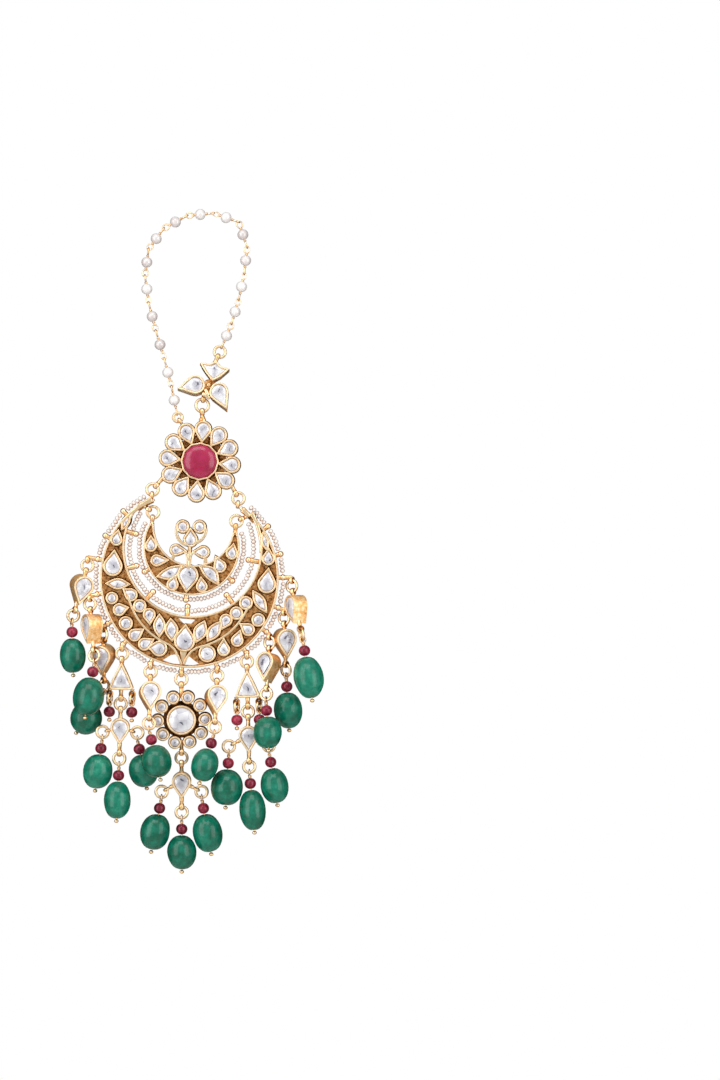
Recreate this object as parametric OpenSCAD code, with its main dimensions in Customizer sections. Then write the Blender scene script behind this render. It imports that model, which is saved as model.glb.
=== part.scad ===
// Chandbali earring with an ear chain: flower stud, two crescents one in the
// other, and a fringe of stone drops and green beads.
// Millimetres. The jewel hangs in the XZ plane, +Z up, and its face looks
// along -Y. The origin is the middle of the flower's back, where the ear post
// leaves it.

/* [Gold work] */
// Depth of the flower and the crescents, back plate to wall tops
depth = 3; // [2.4:0.1:4]
// Thickness of the back plate
plate_t = 1; // [0.6:0.1:1.4]
// Width of the wall round each stone
wall_t = 0.45; // [0.3:0.05:0.6]
// Gap between a stone and its wall
stone_gap = 0.05; // [0.02:0.01:0.1]
// Radius of the ring and eye wire
wire_r = 0.25; // [0.2:0.01:0.28]
// Mean radius of a soldered eye
eye_r = 0.7; // [0.65:0.01:0.8]
// Mean radius of a jump ring
ring_r = 1.45; // [1.3:0.05:1.6]

/* [Flower stud] */
// Number of petals
petal_count = 12; // [12:1:12]
// Distance from the post to the middle of a petal stone
petal_at = 8.1; // [7.8:0.1:8.4]
// Radius of a petal stone
petal_r = 1.6; // [1.4:0.05:1.65]
// Radius of the ruby
ruby_r = 4.2; // [3.8:0.1:4.3]
// Height of the ruby's dome over its wall
ruby_dome = 1.7; // [1:0.1:2.4]
// Radius of the ear post
post_r = 0.45; // [0.4:0.01:0.5]
// Length of the ear post behind the flower
post_len = 10; // [8:0.5:12]

/* [Crescents] */
// Turn of both crescents, clockwise from the front
crescent_turn = 6; // [0:1:8]
// Outer radius of the large crescent
outer_r = 22.3; // [22:0.1:22.5]
// Radius of the large crescent's inner edge
bay_r = 17; // [16.8:0.1:17.2]
// How far the inner edge's centre lies above the outer one
bay_up = 7.6; // [7.4:0.1:7.8]
// Outer radius of the small crescent
small_r = 12; // [11.8:0.1:12.1]
// Radius of the small crescent's inner edge
small_bay_r = 9.9; // [9.8:0.1:10]
// How far the small inner edge's centre lies above the small outer one
small_bay_up = 5.4; // [5.3:0.1:5.5]
// Radius of a seed pearl
seed_r = 0.5; // [0.4:0.05:0.5]

/* [Ear chain] */
// Radius of a chain pearl
pearl_r = 1.38; // [1.2:0.02:1.4]
// Radius of the chain's wire
chain_wire_r = 0.16; // [0.12:0.01:0.17]

/* [Fringe] */
// Depth of a drop's box setting
box_depth = 3.8; // [3:0.1:4.2]
// Length of a single drop, from eye to eye
drop_len = 10.1; // [10:0.1:10.4]
// Radius of a small red bead
red_r = 1.45; // [1.2:0.05:1.5]
// Radius of a drilled hole
hole_r = 0.32; // [0.28:0.01:0.4]
// Radius of a head pin's wire
pin_r = 0.2; // [0.15:0.01:0.22]
// Radius of the ball at a head pin's end
ball_r = 0.55; // [0.4:0.05:0.6]

/* [Hidden] */
GOLD = "goldenrod";
CLEAR = "gainsboro";
RUBY = "crimson";
GREEN = "seagreen";
PEARL = "linen";
RED = "darkred";

// The middle of the jewel's depth, where rings and chain hang
mid_y = -depth / 2;
// Depth of a box's and the crest's cups, floor to wall tops
cup_deep = 1.6;
// Radius of a soldered stalk, and how far it runs into a setting
stalk_r = 1.4 * wire_r;
bite = 0.35;
// How far the ruby's dome is sunk
ruby_sunk = 0.3;
// The large crescent's centre in X and Z
crescent_at = [-2.6, -29.2];
// The small crescent's centre in the large one's turned frame
small_at = [-0.3, 7.8];
// Both hinge lines' heights, and the eyes on them, in the large one's frame
hinge_up = 19.65;
hinge_x = [-11.5, 10.1];
small_hinge_up = 14;
small_hinge_x = [-10.75, 10.15];

// Outlines, as lists of points
ROUND = 0;
PEAR = 1;
LEAF = 2;
TRIANGLE = 3;
KITE = 4;
STEPS = 12;

function arc(r, a1, a2, n) = [for (i = [0:n]) let (a = a1 + (a2 - a1) * i / n)
    [r * cos(a), r * sin(a)]];

// A circle's outline
function round_line(r) = [for (i = [0:STEPS - 1]) let (a = 360 * i / STEPS)
    [r * cos(a), r * sin(a)]];

// A round end at the middle and a point along +X
function pear_line(r, tip) = let (a = acos(r / tip))
    concat(arc(r, a, 360 - a, STEPS - 2), [[tip, 0]]);

// Two pointed ends along X, its back bowed sideways
function leaf_line(half_w, length, bow) = let (n = STEPS / 2)
    concat(
        [for (i = [0:n - 1]) let (t = i / n)
            [(t - 0.5) * length, bow * sin(180 * t) - half_w * sin(180 * t)]],
        [for (i = [0:n - 1]) let (t = 1 - i / n)
            [(t - 0.5) * length, bow * sin(180 * t) + half_w * sin(180 * t)]]);

// A triangle with its point along +X, its sides a little full
function triangle_line(half_w, length) = let (a = 0.34 * length, b = -0.5 * length)
    [[0.5 * length, 0], [a, 0.17 * half_w], [0.02, 0.55 * half_w],
     [b + 0.15, half_w], [b, 0.9 * half_w], [b - 0.03, 0],
     [b, -0.9 * half_w], [b + 0.15, -half_w], [0.02, -0.55 * half_w],
     [a, -0.17 * half_w]];

// A kite with its point along -Y and three corners above, hollow between them
function kite_line(half_w, length) =
    [[0, -0.52 * length], [0.5 * half_w, -0.26 * length], [half_w, 0.14 * length],
     [0.66 * half_w, 0.17 * length], [0.4 * half_w, 0.27 * length],
     [0.12 * half_w, 0.48 * length], [-0.3 * half_w, 0.3 * length],
     [-0.6 * half_w, 0.27 * length], [-half_w, 0.3 * length],
     [-0.52 * half_w, -0.12 * length]];

function turned(pts, x, y, turn) = [for (p = pts)
    [x + p[0] * cos(turn) - p[1] * sin(turn), y + p[0] * sin(turn) + p[1] * cos(turn)]];

// A stone's row: kind, x, y, radius or half width, tip distance or length,
// turn, bow. grow widens the outline by so much all round.
function stone_line(s, grow) =
    s[0] == ROUND ? turned(round_line(s[3] + grow), s[1], s[2], s[5])
    : s[0] == PEAR ? turned(pear_line(s[3] + grow, (s[3] + grow) * s[4] / s[3]), s[1], s[2], s[5])
    : s[0] == LEAF ? turned(leaf_line(s[3] + grow, s[4] + 3.2 * grow, s[6]), s[1], s[2], s[5])
    : s[0] == TRIANGLE ? turned(triangle_line(s[3] + 1.6 * grow, s[4] + 3.4 * grow), s[1], s[2], s[5])
    : turned(kite_line(s[3] + 1.5 * grow, s[4] + 2.6 * grow), s[1], s[2], s[5]);

// Petals round the ruby
petals = [for (i = [0:petal_count - 1]) let (a = 84 - 360 / petal_count * i)
    [PEAR, petal_at * cos(a), petal_at * sin(a), petal_r, 2.75, a + 180, 0]];

// The crest's stones, round the crest's middle
crest_at = [3, 19.4];
crest_tilt = -13;
crest = [
    // kind, x, y, radius, tip, turn, bow
    [KITE, 0.5, 3.1, 3.0, 4.1, -7, 0],
    [PEAR, -4.1, -0.5, 1.9, 3.6, 192, 0],
    [PEAR, 1.8, -2.4, 1.9, 4.0, -66, 0]
];

// The large crescent's stones, in its turned frame
outer_stones = [
    // kind, x, y, radius or half width, tip or length, turn, bow
    [LEAF, -17.2, 12.4, 0.5, 3.4, 68, 0],
    [PEAR, -19.1, 7.7, 1.05, 1.9, 84, 0],
    [PEAR, -19.3, 1.0, 1.95, 3.5, 90, 0],
    [LEAF, -17.6, -3.2, 0.95, 4.7, 4, 0],
    [ROUND, -18.7, -6.9, 1.1, 0, 0, 0],
    [PEAR, -16.6, -9.6, 1.15, 1.9, 20, 0],
    [ROUND, -14.6, -12.8, 1.3, 0, 0, 0],
    [PEAR, -12.1, -15.5, 1.15, 2.1, 40, 0],
    [PEAR, -9.4, -17.5, 1.15, 2.1, 35, 0],
    [PEAR, -5.6, -18.2, 1.5, 2.3, 180, 0],
    [PEAR, -14.0, -5.6, 1.15, 1.9, 150, 0],
    [ROUND, -11.6, -8.1, 1.2, 0, 0, 0],
    [PEAR, -9.0, -10.0, 1.15, 2.0, -80, 0],
    [LEAF, -6.2, -12.5, 1.1, 4.6, 96, 0],
    [LEAF, -3.1, -13.2, 1.25, 4.6, 100, 0],
    [PEAR, 0.45, -15.7, 2.15, 3.6, 92, 0],
    [LEAF, 4.1, -12.9, 1.25, 4.7, 74, 0],
    [LEAF, 7.5, -12.5, 1.1, 4.9, 62, 0],
    [PEAR, 10.2, -9.4, 1.15, 2.0, -110, 0],
    [ROUND, 12.6, -7.4, 1.2, 0, 0, 0],
    [ROUND, 14.7, -4.6, 1.25, 0, 0, 0],
    [LEAF, 18.1, -3.9, 0.95, 5.2, -52, 0],
    [PEAR, 19.4, 0.6, 1.85, 3.4, 90, 0],
    [PEAR, 19.1, 6.9, 1.15, 2.0, 92, 0],
    [LEAF, 17.8, 11.2, 0.5, 3.6, 110, 0],
    [ROUND, 18.2, -8.5, 1.25, 0, 0, 0],
    [PEAR, 16.0, -11.2, 1.15, 2.0, 150, 0],
    [PEAR, 13.5, -14.2, 1.1, 2.1, 80, 0],
    [PEAR, 10.4, -16.8, 1.15, 2.1, 95, 0],
    [ROUND, 6.4, -18.2, 1.7, 0, 0, 0]
];
// Stems between the rows: centre x, centre y, radius, start and end angle
outer_stems = [[1.5, -0.5, 17.1, 196, 254], [-1, -0.5, 17.1, 286, 344]];
// Gaps cut through the large crescent's plate
outer_gaps = [
    [[-4.5, -21], [-2.6, -19.5], [-1.2, -19.2], [-0.3, -20.4], [-0.2, -21.6], [-2.2, -21.6]],
    [[0.8, -21.6], [0.9, -20.4], [1.7, -19.2], [3.2, -20.2], [4.6, -21], [3, -21.5]],
    [[-1.7, -10.2], [-0.4, -11.3], [1.6, -11.2], [2.5, -10.1]]
];

// The small crescent's stones, round its own centre
small_stones = [
    // kind, x, y, radius or half width, tip or length, turn, bow
    [PEAR, -10.1, -0.7, 1.05, 1.9, 95, 0],
    [PEAR, -8.3, -4.2, 1.05, 2.5, 8, 0],
    [LEAF, -4.8, -6.6, 1.15, 5.6, 30, -0.5],
    [PEAR, -3.7, -9.8, 1.05, 1.8, 80, 0],
    [PEAR, -0.1, -7.1, 2.15, 3.7, -90, 0],
    [PEAR, 3.6, -9.5, 1.0, 1.8, 100, 0],
    [LEAF, 5.2, -6.4, 1.15, 5.6, -38, 0.5],
    [PEAR, 7.6, -4.0, 1.15, 2.1, 120, 0],
    [PEAR, 10.2, -0.5, 1.05, 1.9, 85, 0],
    [ROUND, -2.7, 4.9, 1.15, 0, 0, 0],
    [ROUND, 1.5, 5.3, 1.15, 0, 0, 0],
    [PEAR, -0.4, 1.8, 1.3, 2.3, 96, 0],
    [PEAR, -3.8, -1.1, 1.0, 2.1, 0, 0],
    [PEAR, 3.1, -0.9, 1.1, 2.1, 185, 0]
];
// Walls of the sprig: centre x, centre y, radius, start and end angle
sprig_walls = [[-0.6, 3.9, 3.6, 172, 258], [-0.4, 4.4, 3.5, 282, 370]];
sprig_stem = [[-0.7, -5.4], [0.1, -5.4], [0.2, 0.4], [-0.9, 0.4]];

// The seed pearl strings: radius, middle and both ends' angles
rim_string_r = outer_r + 1.05;
rim_string_ends = [124, 416];
bay_string_at = [-0.2, 7.4];
bay_string_r = 15.5;
bay_string_ends = [150, 391];
small_string_r = small_r + 1.05;
small_string_ends = [157, 383];
// Posts that carry the strings, by angle, and half the gap each leaves in them
string_post_r = 0.55;
rim_posts = [140.5, 159, 381, 399.5];
rim_post_gap = 2.2;
bay_posts = [171, 203, 234, 272, 313, 355];
bay_post_gap = 2.5;
small_posts = [213.5, 270, 326.5];
small_post_gap = 3;
// Bars at the large crescent's horns: middle radius, half width and end angles
horn_bar_r = outer_r - 0.7;
horn_bar_half = 0.68;
horn_bars = [[47, 58.3], [121.2, 133]];
// Height at which the small crescent's horns are cut, and its first sprig stone
small_horn_top = 5;
sprig_from = 9;

// The joints of the ear chain, from the crest round to the flower
chain = [
    [5.4, 28.4], [7.9, 34.4], [9.7, 40.4], [11.1, 46.9], [11.8, 53.5], [9.7, 59.8],
    [3.4, 62], [-3.2, 61.4], [-9, 58.2], [-12.8, 53.1], [-13.7, 46.4], [-12.8, 39.7],
    [-11, 32.7], [-8.9, 25.7], [-7.1, 18.8], [-5.7, 11.8]
];
chain_eye_r = 0.85;
chain_eye_at = 0.6;
chain_ring_r = 1.1;

// Rings of the stud: x, z, radius
crest_top_ring = [5, 27.35, 1.4];
crest_low_ring = [0.6, 14, 1.6];
stud_chain_ring = [-5.5, 11, chain_ring_r];

// The fringe hangs from eleven rings under the rim, left to right
drops = [
    // rim angle; ring's turn; lean to the right; box's turn; low ring's turn;
    // swing to the back
    [172.8, 0, -16, 22, 20, 3],
    [194.5, -12, 5, -62, -30, -10],
    [213.2, -50, 0, -22, 35, 10],
    [228.2, 0, -1.6, 0, 0, 2],
    [247.4, 0, -1.3, 10, 0, -10],
    [265.4, 0, 0, 0, 0, 5],
    [285.9, 0, -2.5, 14, 0, -12],
    [304.6, 0, 1.3, 0, 0, 0],
    [321.3, -32, -3.5, -33, -20, -10],
    [337.2, -30, 2, 20, -40, 4],
    [355.8, -30, 11.2, -61, -75, -20]
];
// Which of them have one box, which a triangle over a pear, and which the flower
single_drops = [0, 1, 2, 4, 6, 8, 9, 10];
double_drops = [3, 7];
centre_drop = 5;

// How far the rings hang out from the rim, low down and at the sides, and how
// far from straight down the sides begin
low_ring_out = 2.95;
side_ring_out = 3.35;
sides_from = 50;
// Half the gap that a ring's loop leaves in the rim's pearl string
loop_half_gap = 2.9;

// Distances below the upper ring's lowest wire
drop_at = 3.7;
triangle_at = 4.2;
double_mid_at = 11.05;
flower_at = 8.7;
centre_mid_at = 18.3;
// A pear's middle, side rings and lower eye, below the ring that holds it
pear_at = 4.5;
function pear_side(k) = k == double_drops[0] ? [4.35, 1.2] : [5, 2.6];
pear_len = 10.85;
// A triangle's side loops and the small rings and red beads under them
side_loop_x = 2.8;
side_loop_at = 8.6;
side_ring_r = 1.1;
side_turn = 65;
side_red_at = 2.3;

// The fringe's stones, and how far their settings reach below their middles
drop_r = 2.1;
drop_tip = 3.95;
drop_stone = [PEAR, 0, 0, drop_r, drop_tip, -90, 0];
drop_low = drop_tip * (drop_r + stone_gap + wall_t) / drop_r;
triangle_half = 2.45;
triangle_len = 5.5;
triangle_stone = [TRIANGLE, 0, 0, triangle_half, triangle_len, 90, 0];
triangle_low = triangle_len / 2 + 1.7 * (stone_gap + wall_t);
pear_r = 1.9;
pear_tip = 3.5;
pear_box = 2.8;
pear_stone = [PEAR, 0, 0, pear_r, pear_tip, -90, 0];
pear_low = pear_tip * (pear_r + stone_gap + wall_t) / pear_r;

// The middle drop's flower
centre_stone_r = 3.2;
centre_petal_count = 10;
centre_petal_r = 1.1;
centre_petal_at = 5.9;

// Green beads on head pins: the drop and its ring that each hangs from, the
// lean to the right, the bead's width and height, and its swing to the back
green_beads = [
    // drop; ring; lean; width; height; swing
    [0, 0, 1.5, 6.6, 8.7, -2],
    [1, 0, -9, 7.8, 9.7, -3],
    [2, 0, -33, 8.1, 8.1, 6],
    [3, 0, -8, 7.4, 8.7, 5],
    [3, 2, -2.5, 6.8, 9.3, -9],
    [3, 1, 10, 7.3, 8.3, 12],
    [4, 0, 13, 7.7, 8.2, 0],
    [5, 0, -11, 7.5, 9.1, 0],
    [5, 2, 0, 7.4, 8.6, -2],
    [5, 1, 9.5, 7.5, 9.6, 0],
    [6, 0, -16, 6.8, 8.4, 0],
    [7, 0, -3.5, 8.1, 9, 0],
    [7, 2, 5, 6.6, 10.2, -6],
    [7, 1, 9, 7.1, 8.8, 2],
    [8, 0, 3, 7.2, 8.1, -5],
    [9, 0, 3, 7.2, 9.1, 7],
    [10, 0, 9, 7.5, 10.6, 9]
];
green_names = [for (i = [0:len(green_beads) - 1]) str("green_bead_", i + 1)];
single_names = [for (i = [0:len(single_drops) - 1]) str("drop_setting_", i + 1)];
double_names = [for (i = [0:1]) for (part = ["triangle_setting_", "pear_setting_"]) str(part, i + 1)];
red_at = 2.75;
bead_gap = 0.08;

// Shapes that repeat

// Turns a drawing in XY, drawn up along Z, to stand in XZ with its face to -Y
module upright() {
    rotate([90, 0, 0]) children();
}

// The large crescent's turned frame
module crescent_frame() {
    translate([crescent_at[0], 0, crescent_at[1]]) rotate([0, crescent_turn, 0]) children();
}

// The small crescent's frame
module small_frame() {
    crescent_frame() translate([small_at[0], 0, small_at[1]]) children();
}

module torus(r, wire) {
    rotate_extrude($fn = 32) translate([r, 0]) circle(wire, $fn = 16);
}

// A ring that faces the front, turned about the upright
module jump_ring(x, y, z, r = ring_r, turn = 0) {
    translate([x, y, z]) rotate([0, 0, turn]) rotate([90, 0, 0]) torus(r, wire_r);
}

// An eye round the wire of a ring of radius r, at an angle on that ring. Its
// stalk runs on outwards for so far from the wire.
module ring_eye(x, y, z, angle, stalk, r = ring_r) {
    translate([x, y, z]) rotate([0, -angle, 0]) translate([r, 0, 0]) {
        torus(eye_r, wire_r);
        if (stalk > eye_r)
            translate([eye_r, 0, 0]) rotate([0, 90, 0])
                cylinder(r = stalk_r, h = stalk - eye_r, $fn = 20);
    }
}

// A wire stalk between two points
module rod(a, b) {
    d = b - a;
    translate(a) rotate([0, acos(d[2] / norm(d)), atan2(d[1], d[0])])
        cylinder(r = stalk_r, h = norm(d), $fn = 20);
}

module area(line) {
    polygon(line);
}

// Walls round a list of stones, open where the stones sit
module walls(stones) {
    difference() {
        union() {
            for (s = stones) area(stone_line(s, stone_gap + wall_t));
            children();
        }
        for (s = stones) area(stone_line(s, stone_gap));
    }
}

// A stone with a flat table, cut sides and one row of facets
module cut_stone(s, low, girdle, table) {
    line = stone_line(s, 0);
    n = len(line);
    mid = [for (k = [0:1]) [for (p = line) p[k]] * [for (p = line) 1] / n];
    top = [for (p = line) mid + 0.55 * (p - mid)];
    polyhedron(
        points = concat([for (p = line) [p[0], p[1], low]], [for (p = line) [p[0], p[1], girdle]],
            [for (p = top) [p[0], p[1], table]]),
        faces = concat([[for (i = [0:n - 1]) i]], [[for (i = [n - 1:-1:0]) 2 * n + i]],
            [for (k = [0:1]) for (i = [0:n - 1]) let (j = (i + 1) % n)
                [k * n + i, (k + 1) * n + i, (k + 1) * n + j, k * n + j]]));
}

module stones_in(stones) {
    for (s = stones) cut_stone(s, plate_t + stone_gap, depth - 0.5, depth + 0.1);
}

// A band of a ring between two angles
module sector(x, y, r, half_w, a1, a2) {
    outer = [for (p = arc(r + half_w, a1, a2, 16)) p + [x, y]];
    inner = [for (p = arc(r - half_w, a2, a1, 16)) p + [x, y]];
    area(concat(outer, inner));
}

// A crescent's flat form, t in from both of its edges
module crescent_area(r, edge_r, edge_up, t) {
    difference() {
        circle(r - t, $fn = 96);
        translate([0, edge_up]) circle(edge_r + t, $fn = 96);
    }
}

// A short barrel through which a pearl string runs, from radius r1 to r2
module string_post(x, z, angle, r1, r2) {
    translate([x, mid_y, z]) rotate([0, 90 - angle, 0]) translate([0, 0, r1])
        cylinder(r = string_post_r, h = r2 - r1, $fn = 24);
}

// A stretch of a pearl string, round a centre, between two angles
module string_arc(x, z, r, a1, a2) {
    translate([x, mid_y, z]) rotate([90, 0, 0]) rotate([0, 0, a1])
        rotate_extrude(angle = a2 - a1, $fn = 64) translate([r, 0]) circle(seed_r, $fn = 16);
}

// A string from end to end past some posts, open by half_gap either side of each
module string_past(x, z, r, posts, half_gap, ends) {
    starts = concat([ends[0]], [for (a = posts) a + half_gap]);
    stops = concat([for (a = posts) a - half_gap], [ends[1]]);
    for (i = [0:len(posts)]) string_arc(x, z, r, starts[i], stops[i]);
}

// A box setting with its floor set back from the front, round end up
module box_setting(s, box = box_depth) {
    translate([0, 0, -box / 2]) {
        linear_extrude(box - cup_deep) area(stone_line(s, stone_gap + wall_t));
        linear_extrude(box) walls([s]);
    }
}

module box_stone(s, box = box_depth) {
    translate([0, 0, -box / 2]) cut_stone(s, box - cup_deep + stone_gap, box - 0.5, box + 0.15);
}

// Flower stud

module flower_setting() {
    color(GOLD) {
        upright() {
            linear_extrude(plate_t) {
                circle(6.6, $fn = 60);
                for (s = petals) area(stone_line(s, stone_gap + wall_t));
            }
            linear_extrude(depth) walls(petals) {
                difference() {
                    circle(ruby_r + stone_gap + 0.5, $fn = 60);
                    circle(ruby_r + stone_gap, $fn = 60);
                }
            }
        }
        // The post is soldered a little way into the plate
        translate([0, -0.3, 0]) rotate([-90, 0, 0]) cylinder(r = post_r, h = post_len + 0.3, $fn = 32);
        // The tab over the top petal, and the eyes for the four rings
        translate([0, mid_y + 0.6, 0]) upright() linear_extrude(1.2)
            area([[-0.6, 9.9], [2.2, 9.8], [1.1, 11.4], [0.1, 11.4]]);
        ring_eye(crest_low_ring[0], mid_y, crest_low_ring[1], -90, 1.2, crest_low_ring[2]);
        ring_eye(stud_chain_ring[0], mid_y, stud_chain_ring[1], -58, 1.3, chain_ring_r);
        crescent_frame() {
            ring_eye(hinge_x[0], mid_y, hinge_up + ring_r, 54, 2.5);
            ring_eye(hinge_x[1], mid_y, hinge_up + ring_r, 124, 2.2);
        }
    }
}

module flower_stones() {
    color(CLEAR) upright() stones_in(petals);
}

module ruby() {
    dome_r = (ruby_r * ruby_r + ruby_dome * ruby_dome) / (2 * ruby_dome);
    color(RUBY) upright() intersection() {
        translate([0, 0, plate_t + stone_gap]) cylinder(r = ruby_r, h = depth + ruby_dome, $fn = 60);
        translate([0, 0, depth + ruby_dome - dome_r - ruby_sunk]) sphere(dome_r, $fn = 80);
    }
}

// Crest between the stud and the ear chain

module crest_frame() {
    translate([crest_at[0], mid_y, crest_at[1]]) rotate([crest_tilt, 0, 0]) upright()
        translate([0, 0, -depth / 2]) children();
}

module crest_setting() {
    color(GOLD) {
        crest_frame() {
            linear_extrude(depth - cup_deep) {
                for (s = crest) area(stone_line(s, stone_gap + wall_t));
                translate([-0.7, -0.4]) circle(1.6, $fn = 24);
            }
            linear_extrude(depth) walls(crest);
            linear_extrude(depth - 0.4) translate([-0.75, -0.3]) circle(0.5, $fn = 24);
        }
        ring_eye(crest_top_ring[0], mid_y, crest_top_ring[1], -115, 1.6, crest_top_ring[2]);
        ring_eye(crest_low_ring[0], mid_y, crest_low_ring[1], 80, 2.7, crest_low_ring[2]);
    }
}

module crest_stones() {
    color(CLEAR) crest_frame() for (s = crest)
        cut_stone(s, depth - cup_deep + stone_gap, depth - 0.5, depth + 0.1);
}

module crest_rings() {
    color(GOLD) for (r = [crest_top_ring, crest_low_ring, stud_chain_ring])
        jump_ring(r[0], mid_y, r[1], r[2]);
}

module hinge_ring(side) {
    color(GOLD) crescent_frame() jump_ring(hinge_x[side], mid_y, hinge_up + ring_r);
}

// Ear chain

// Where pearl i sits, and the way its pin runs
function chain_mid(i) = (chain[i] + chain[i + 1]) / 2;
function chain_span(i) = norm(chain[i + 1] - chain[i]);
function chain_turn(i) = let (d = chain[i + 1] - chain[i]) atan2(d[1], d[0]);

// Puts a pin drawn along +X at its place in the chain
module chain_frame(i) {
    translate([chain_mid(i)[0], mid_y, chain_mid(i)[1]]) rotate([0, -chain_turn(i), 0]) children();
}

module chain_pearls() {
    color(PEARL) for (i = [0:len(chain) - 2]) chain_frame(i) difference() {
        sphere(pearl_r, $fn = 32);
        rotate([0, 90, 0]) cylinder(r = hole_r, h = 3 * pearl_r, center = true, $fn = 20);
    }
}

module chain_links() {
    color(GOLD) for (i = [0:len(chain) - 2]) chain_frame(i) {
        eye_at = chain_span(i) / 2 - chain_eye_at;
        reach = eye_at - chain_eye_r;
        rotate([0, 90, 0]) cylinder(r = chain_wire_r, h = 2 * reach, center = true, $fn = 20);
        translate([-eye_at, 0, 0]) torus(chain_eye_r, chain_wire_r);
        // Each pin's far eye faces the front, but the last one takes a front-facing ring
        translate([eye_at, 0, 0]) rotate([i < len(chain) - 2 ? 90 : 0, 0, 0])
            torus(chain_eye_r, chain_wire_r);
    }
}

// Large crescent

module outer_crescent() {
    color(GOLD) {
        crescent_frame() {
            upright() {
                linear_extrude(plate_t) difference() {
                    crescent_area(outer_r, bay_r, bay_up, 0);
                    for (g = outer_gaps) area(g);
                }
                linear_extrude(depth) {
                    walls(outer_stones) {
                        difference() {
                            crescent_area(outer_r, bay_r, bay_up, 0);
                            crescent_area(outer_r, bay_r, bay_up, 0.5);
                        }
                        for (s = outer_stems) sector(s[0], s[1], s[2], 0.22, s[3], s[4]);
                        area([[-0.1, -22], [0.5, -22], [0.9, -17.5], [0, -17.5]]);
                    }
                    // The horns end in plain bars
                    for (h = horn_bars) sector(0, 0, horn_bar_r, horn_bar_half, h[0], h[1]);
                }
            }
            for (a = rim_posts) string_post(0, 0, a, outer_r - 0.3, outer_r + 1.9);
            for (a = bay_posts)
                string_post(bay_string_at[0], bay_string_at[1], a, bay_string_r - 0.8,
                    bay_string_r + 1.9);
            for (x = hinge_x) translate([x, mid_y, hinge_up]) rotate([0, 90, 0]) torus(eye_r, wire_r);
            ring_eye(small_hinge_x[0], mid_y, small_hinge_up + ring_r, 150, 1.4);
            ring_eye(small_hinge_x[1], mid_y, small_hinge_up + ring_r, 30, 1.6);
            // The right hinge eye stands clear of its horn on a short bar
            rod([11.6, mid_y, 18.2], [hinge_x[1], mid_y, hinge_up - eye_r - 0.1]);
        }
        for (d = drops) {
            translate([rim_ring(d)[0], mid_y, rim_ring(d)[1] + ring_r])
                rotate([0, 0, d[1]]) rotate([0, 90, 0]) torus(eye_r, wire_r);
            rod([loop_top(d)[0], mid_y, loop_top(d)[1]], [loop_foot(d)[0], mid_y, loop_foot(d)[1]]);
        }
    }
}

module outer_stones_node() {
    color(CLEAR) crescent_frame() upright() stones_in(outer_stones);
}

module rim_pearl_string() {
    post_gaps = [for (a = rim_posts) [a - rim_post_gap, a + rim_post_gap]];
    gaps = concat([post_gaps[0], post_gaps[1]], [for (d = drops) loop_gap(d)],
        [post_gaps[2], post_gaps[3]]);
    color(PEARL) crescent_frame() {
        for (i = [0:len(gaps) - 2]) string_arc(0, 0, rim_string_r, gaps[i][1], gaps[i + 1][0]);
        string_arc(0, 0, rim_string_r, rim_string_ends[0], gaps[0][0]);
        string_arc(0, 0, rim_string_r, gaps[len(gaps) - 1][1], rim_string_ends[1]);
    }
}

module bay_pearl_string() {
    color(PEARL) crescent_frame() {
        string_past(bay_string_at[0], bay_string_at[1], bay_string_r, bay_posts, bay_post_gap,
            bay_string_ends);
    }
}

// Small crescent in the large one's bay

module small_rings() {
    color(GOLD) crescent_frame() for (x = small_hinge_x)
        jump_ring(x, mid_y, small_hinge_up + ring_r);
}

// Cuts the small crescent's horns level
module below_horn_tops() {
    intersection() {
        children();
        translate([-small_r, small_horn_top - 2 * small_r]) square(2 * small_r);
    }
}

module small_crescent() {
    color(GOLD) small_frame() {
        upright() {
            linear_extrude(plate_t) {
                below_horn_tops() crescent_area(small_r, small_bay_r, small_bay_up, 0);
                for (i = [sprig_from:len(small_stones) - 1])
                    area(stone_line(small_stones[i], stone_gap + wall_t));
                area(sprig_stem);
                for (s = sprig_walls) sector(s[0], s[1], s[2], 0.25, s[3], s[4]);
            }
            linear_extrude(depth) walls(small_stones) {
                below_horn_tops() difference() {
                    crescent_area(small_r, small_bay_r, small_bay_up, 0);
                    crescent_area(small_r, small_bay_r, small_bay_up, 0.42);
                }
                area(sprig_stem);
                for (s = sprig_walls) sector(s[0], s[1], s[2], 0.25, s[3], s[4]);
            }
        }
        for (a = small_posts) string_post(0, 0, a, small_r - 0.4, small_string_r + 0.7);
        for (x = small_hinge_x) translate([x - small_at[0], mid_y, small_hinge_up - small_at[1]]) {
            rotate([0, 90, 0]) torus(eye_r, wire_r);
            translate([0, 0, -1.9]) cylinder(r = 0.4, h = 1.1, $fn = 20);
        }
    }
}

module small_stones_node() {
    color(CLEAR) small_frame() upright() stones_in(small_stones);
}

module small_pearl_string() {
    color(PEARL) small_frame() {
        string_past(0, 0, small_string_r, small_posts, small_post_gap, small_string_ends);
    }
}

// Fringe

// Rings at the sides hang further out, clear of the pearl string
function beside(d) = abs(d[0] - 270) > sides_from;

// A drop's ring under the rim, as x and z
function rim_ring(d) =
    crescent_at + (outer_r + (beside(d) ? side_ring_out : low_ring_out)) * [cos(d[0]), sin(d[0])];

// The rim's eye holds the ring at its top; its stalk runs in to the rim
function loop_top(d) = rim_ring(d) + [0, ring_r + eye_r];
function loop_angle(d) = let (p = loop_top(d) - crescent_at) (atan2(p[1], p[0]) + 450) % 360 - 90;
function loop_foot(d) = crescent_at + (outer_r - 0.4) * [cos(loop_angle(d)), sin(loop_angle(d))];

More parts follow.
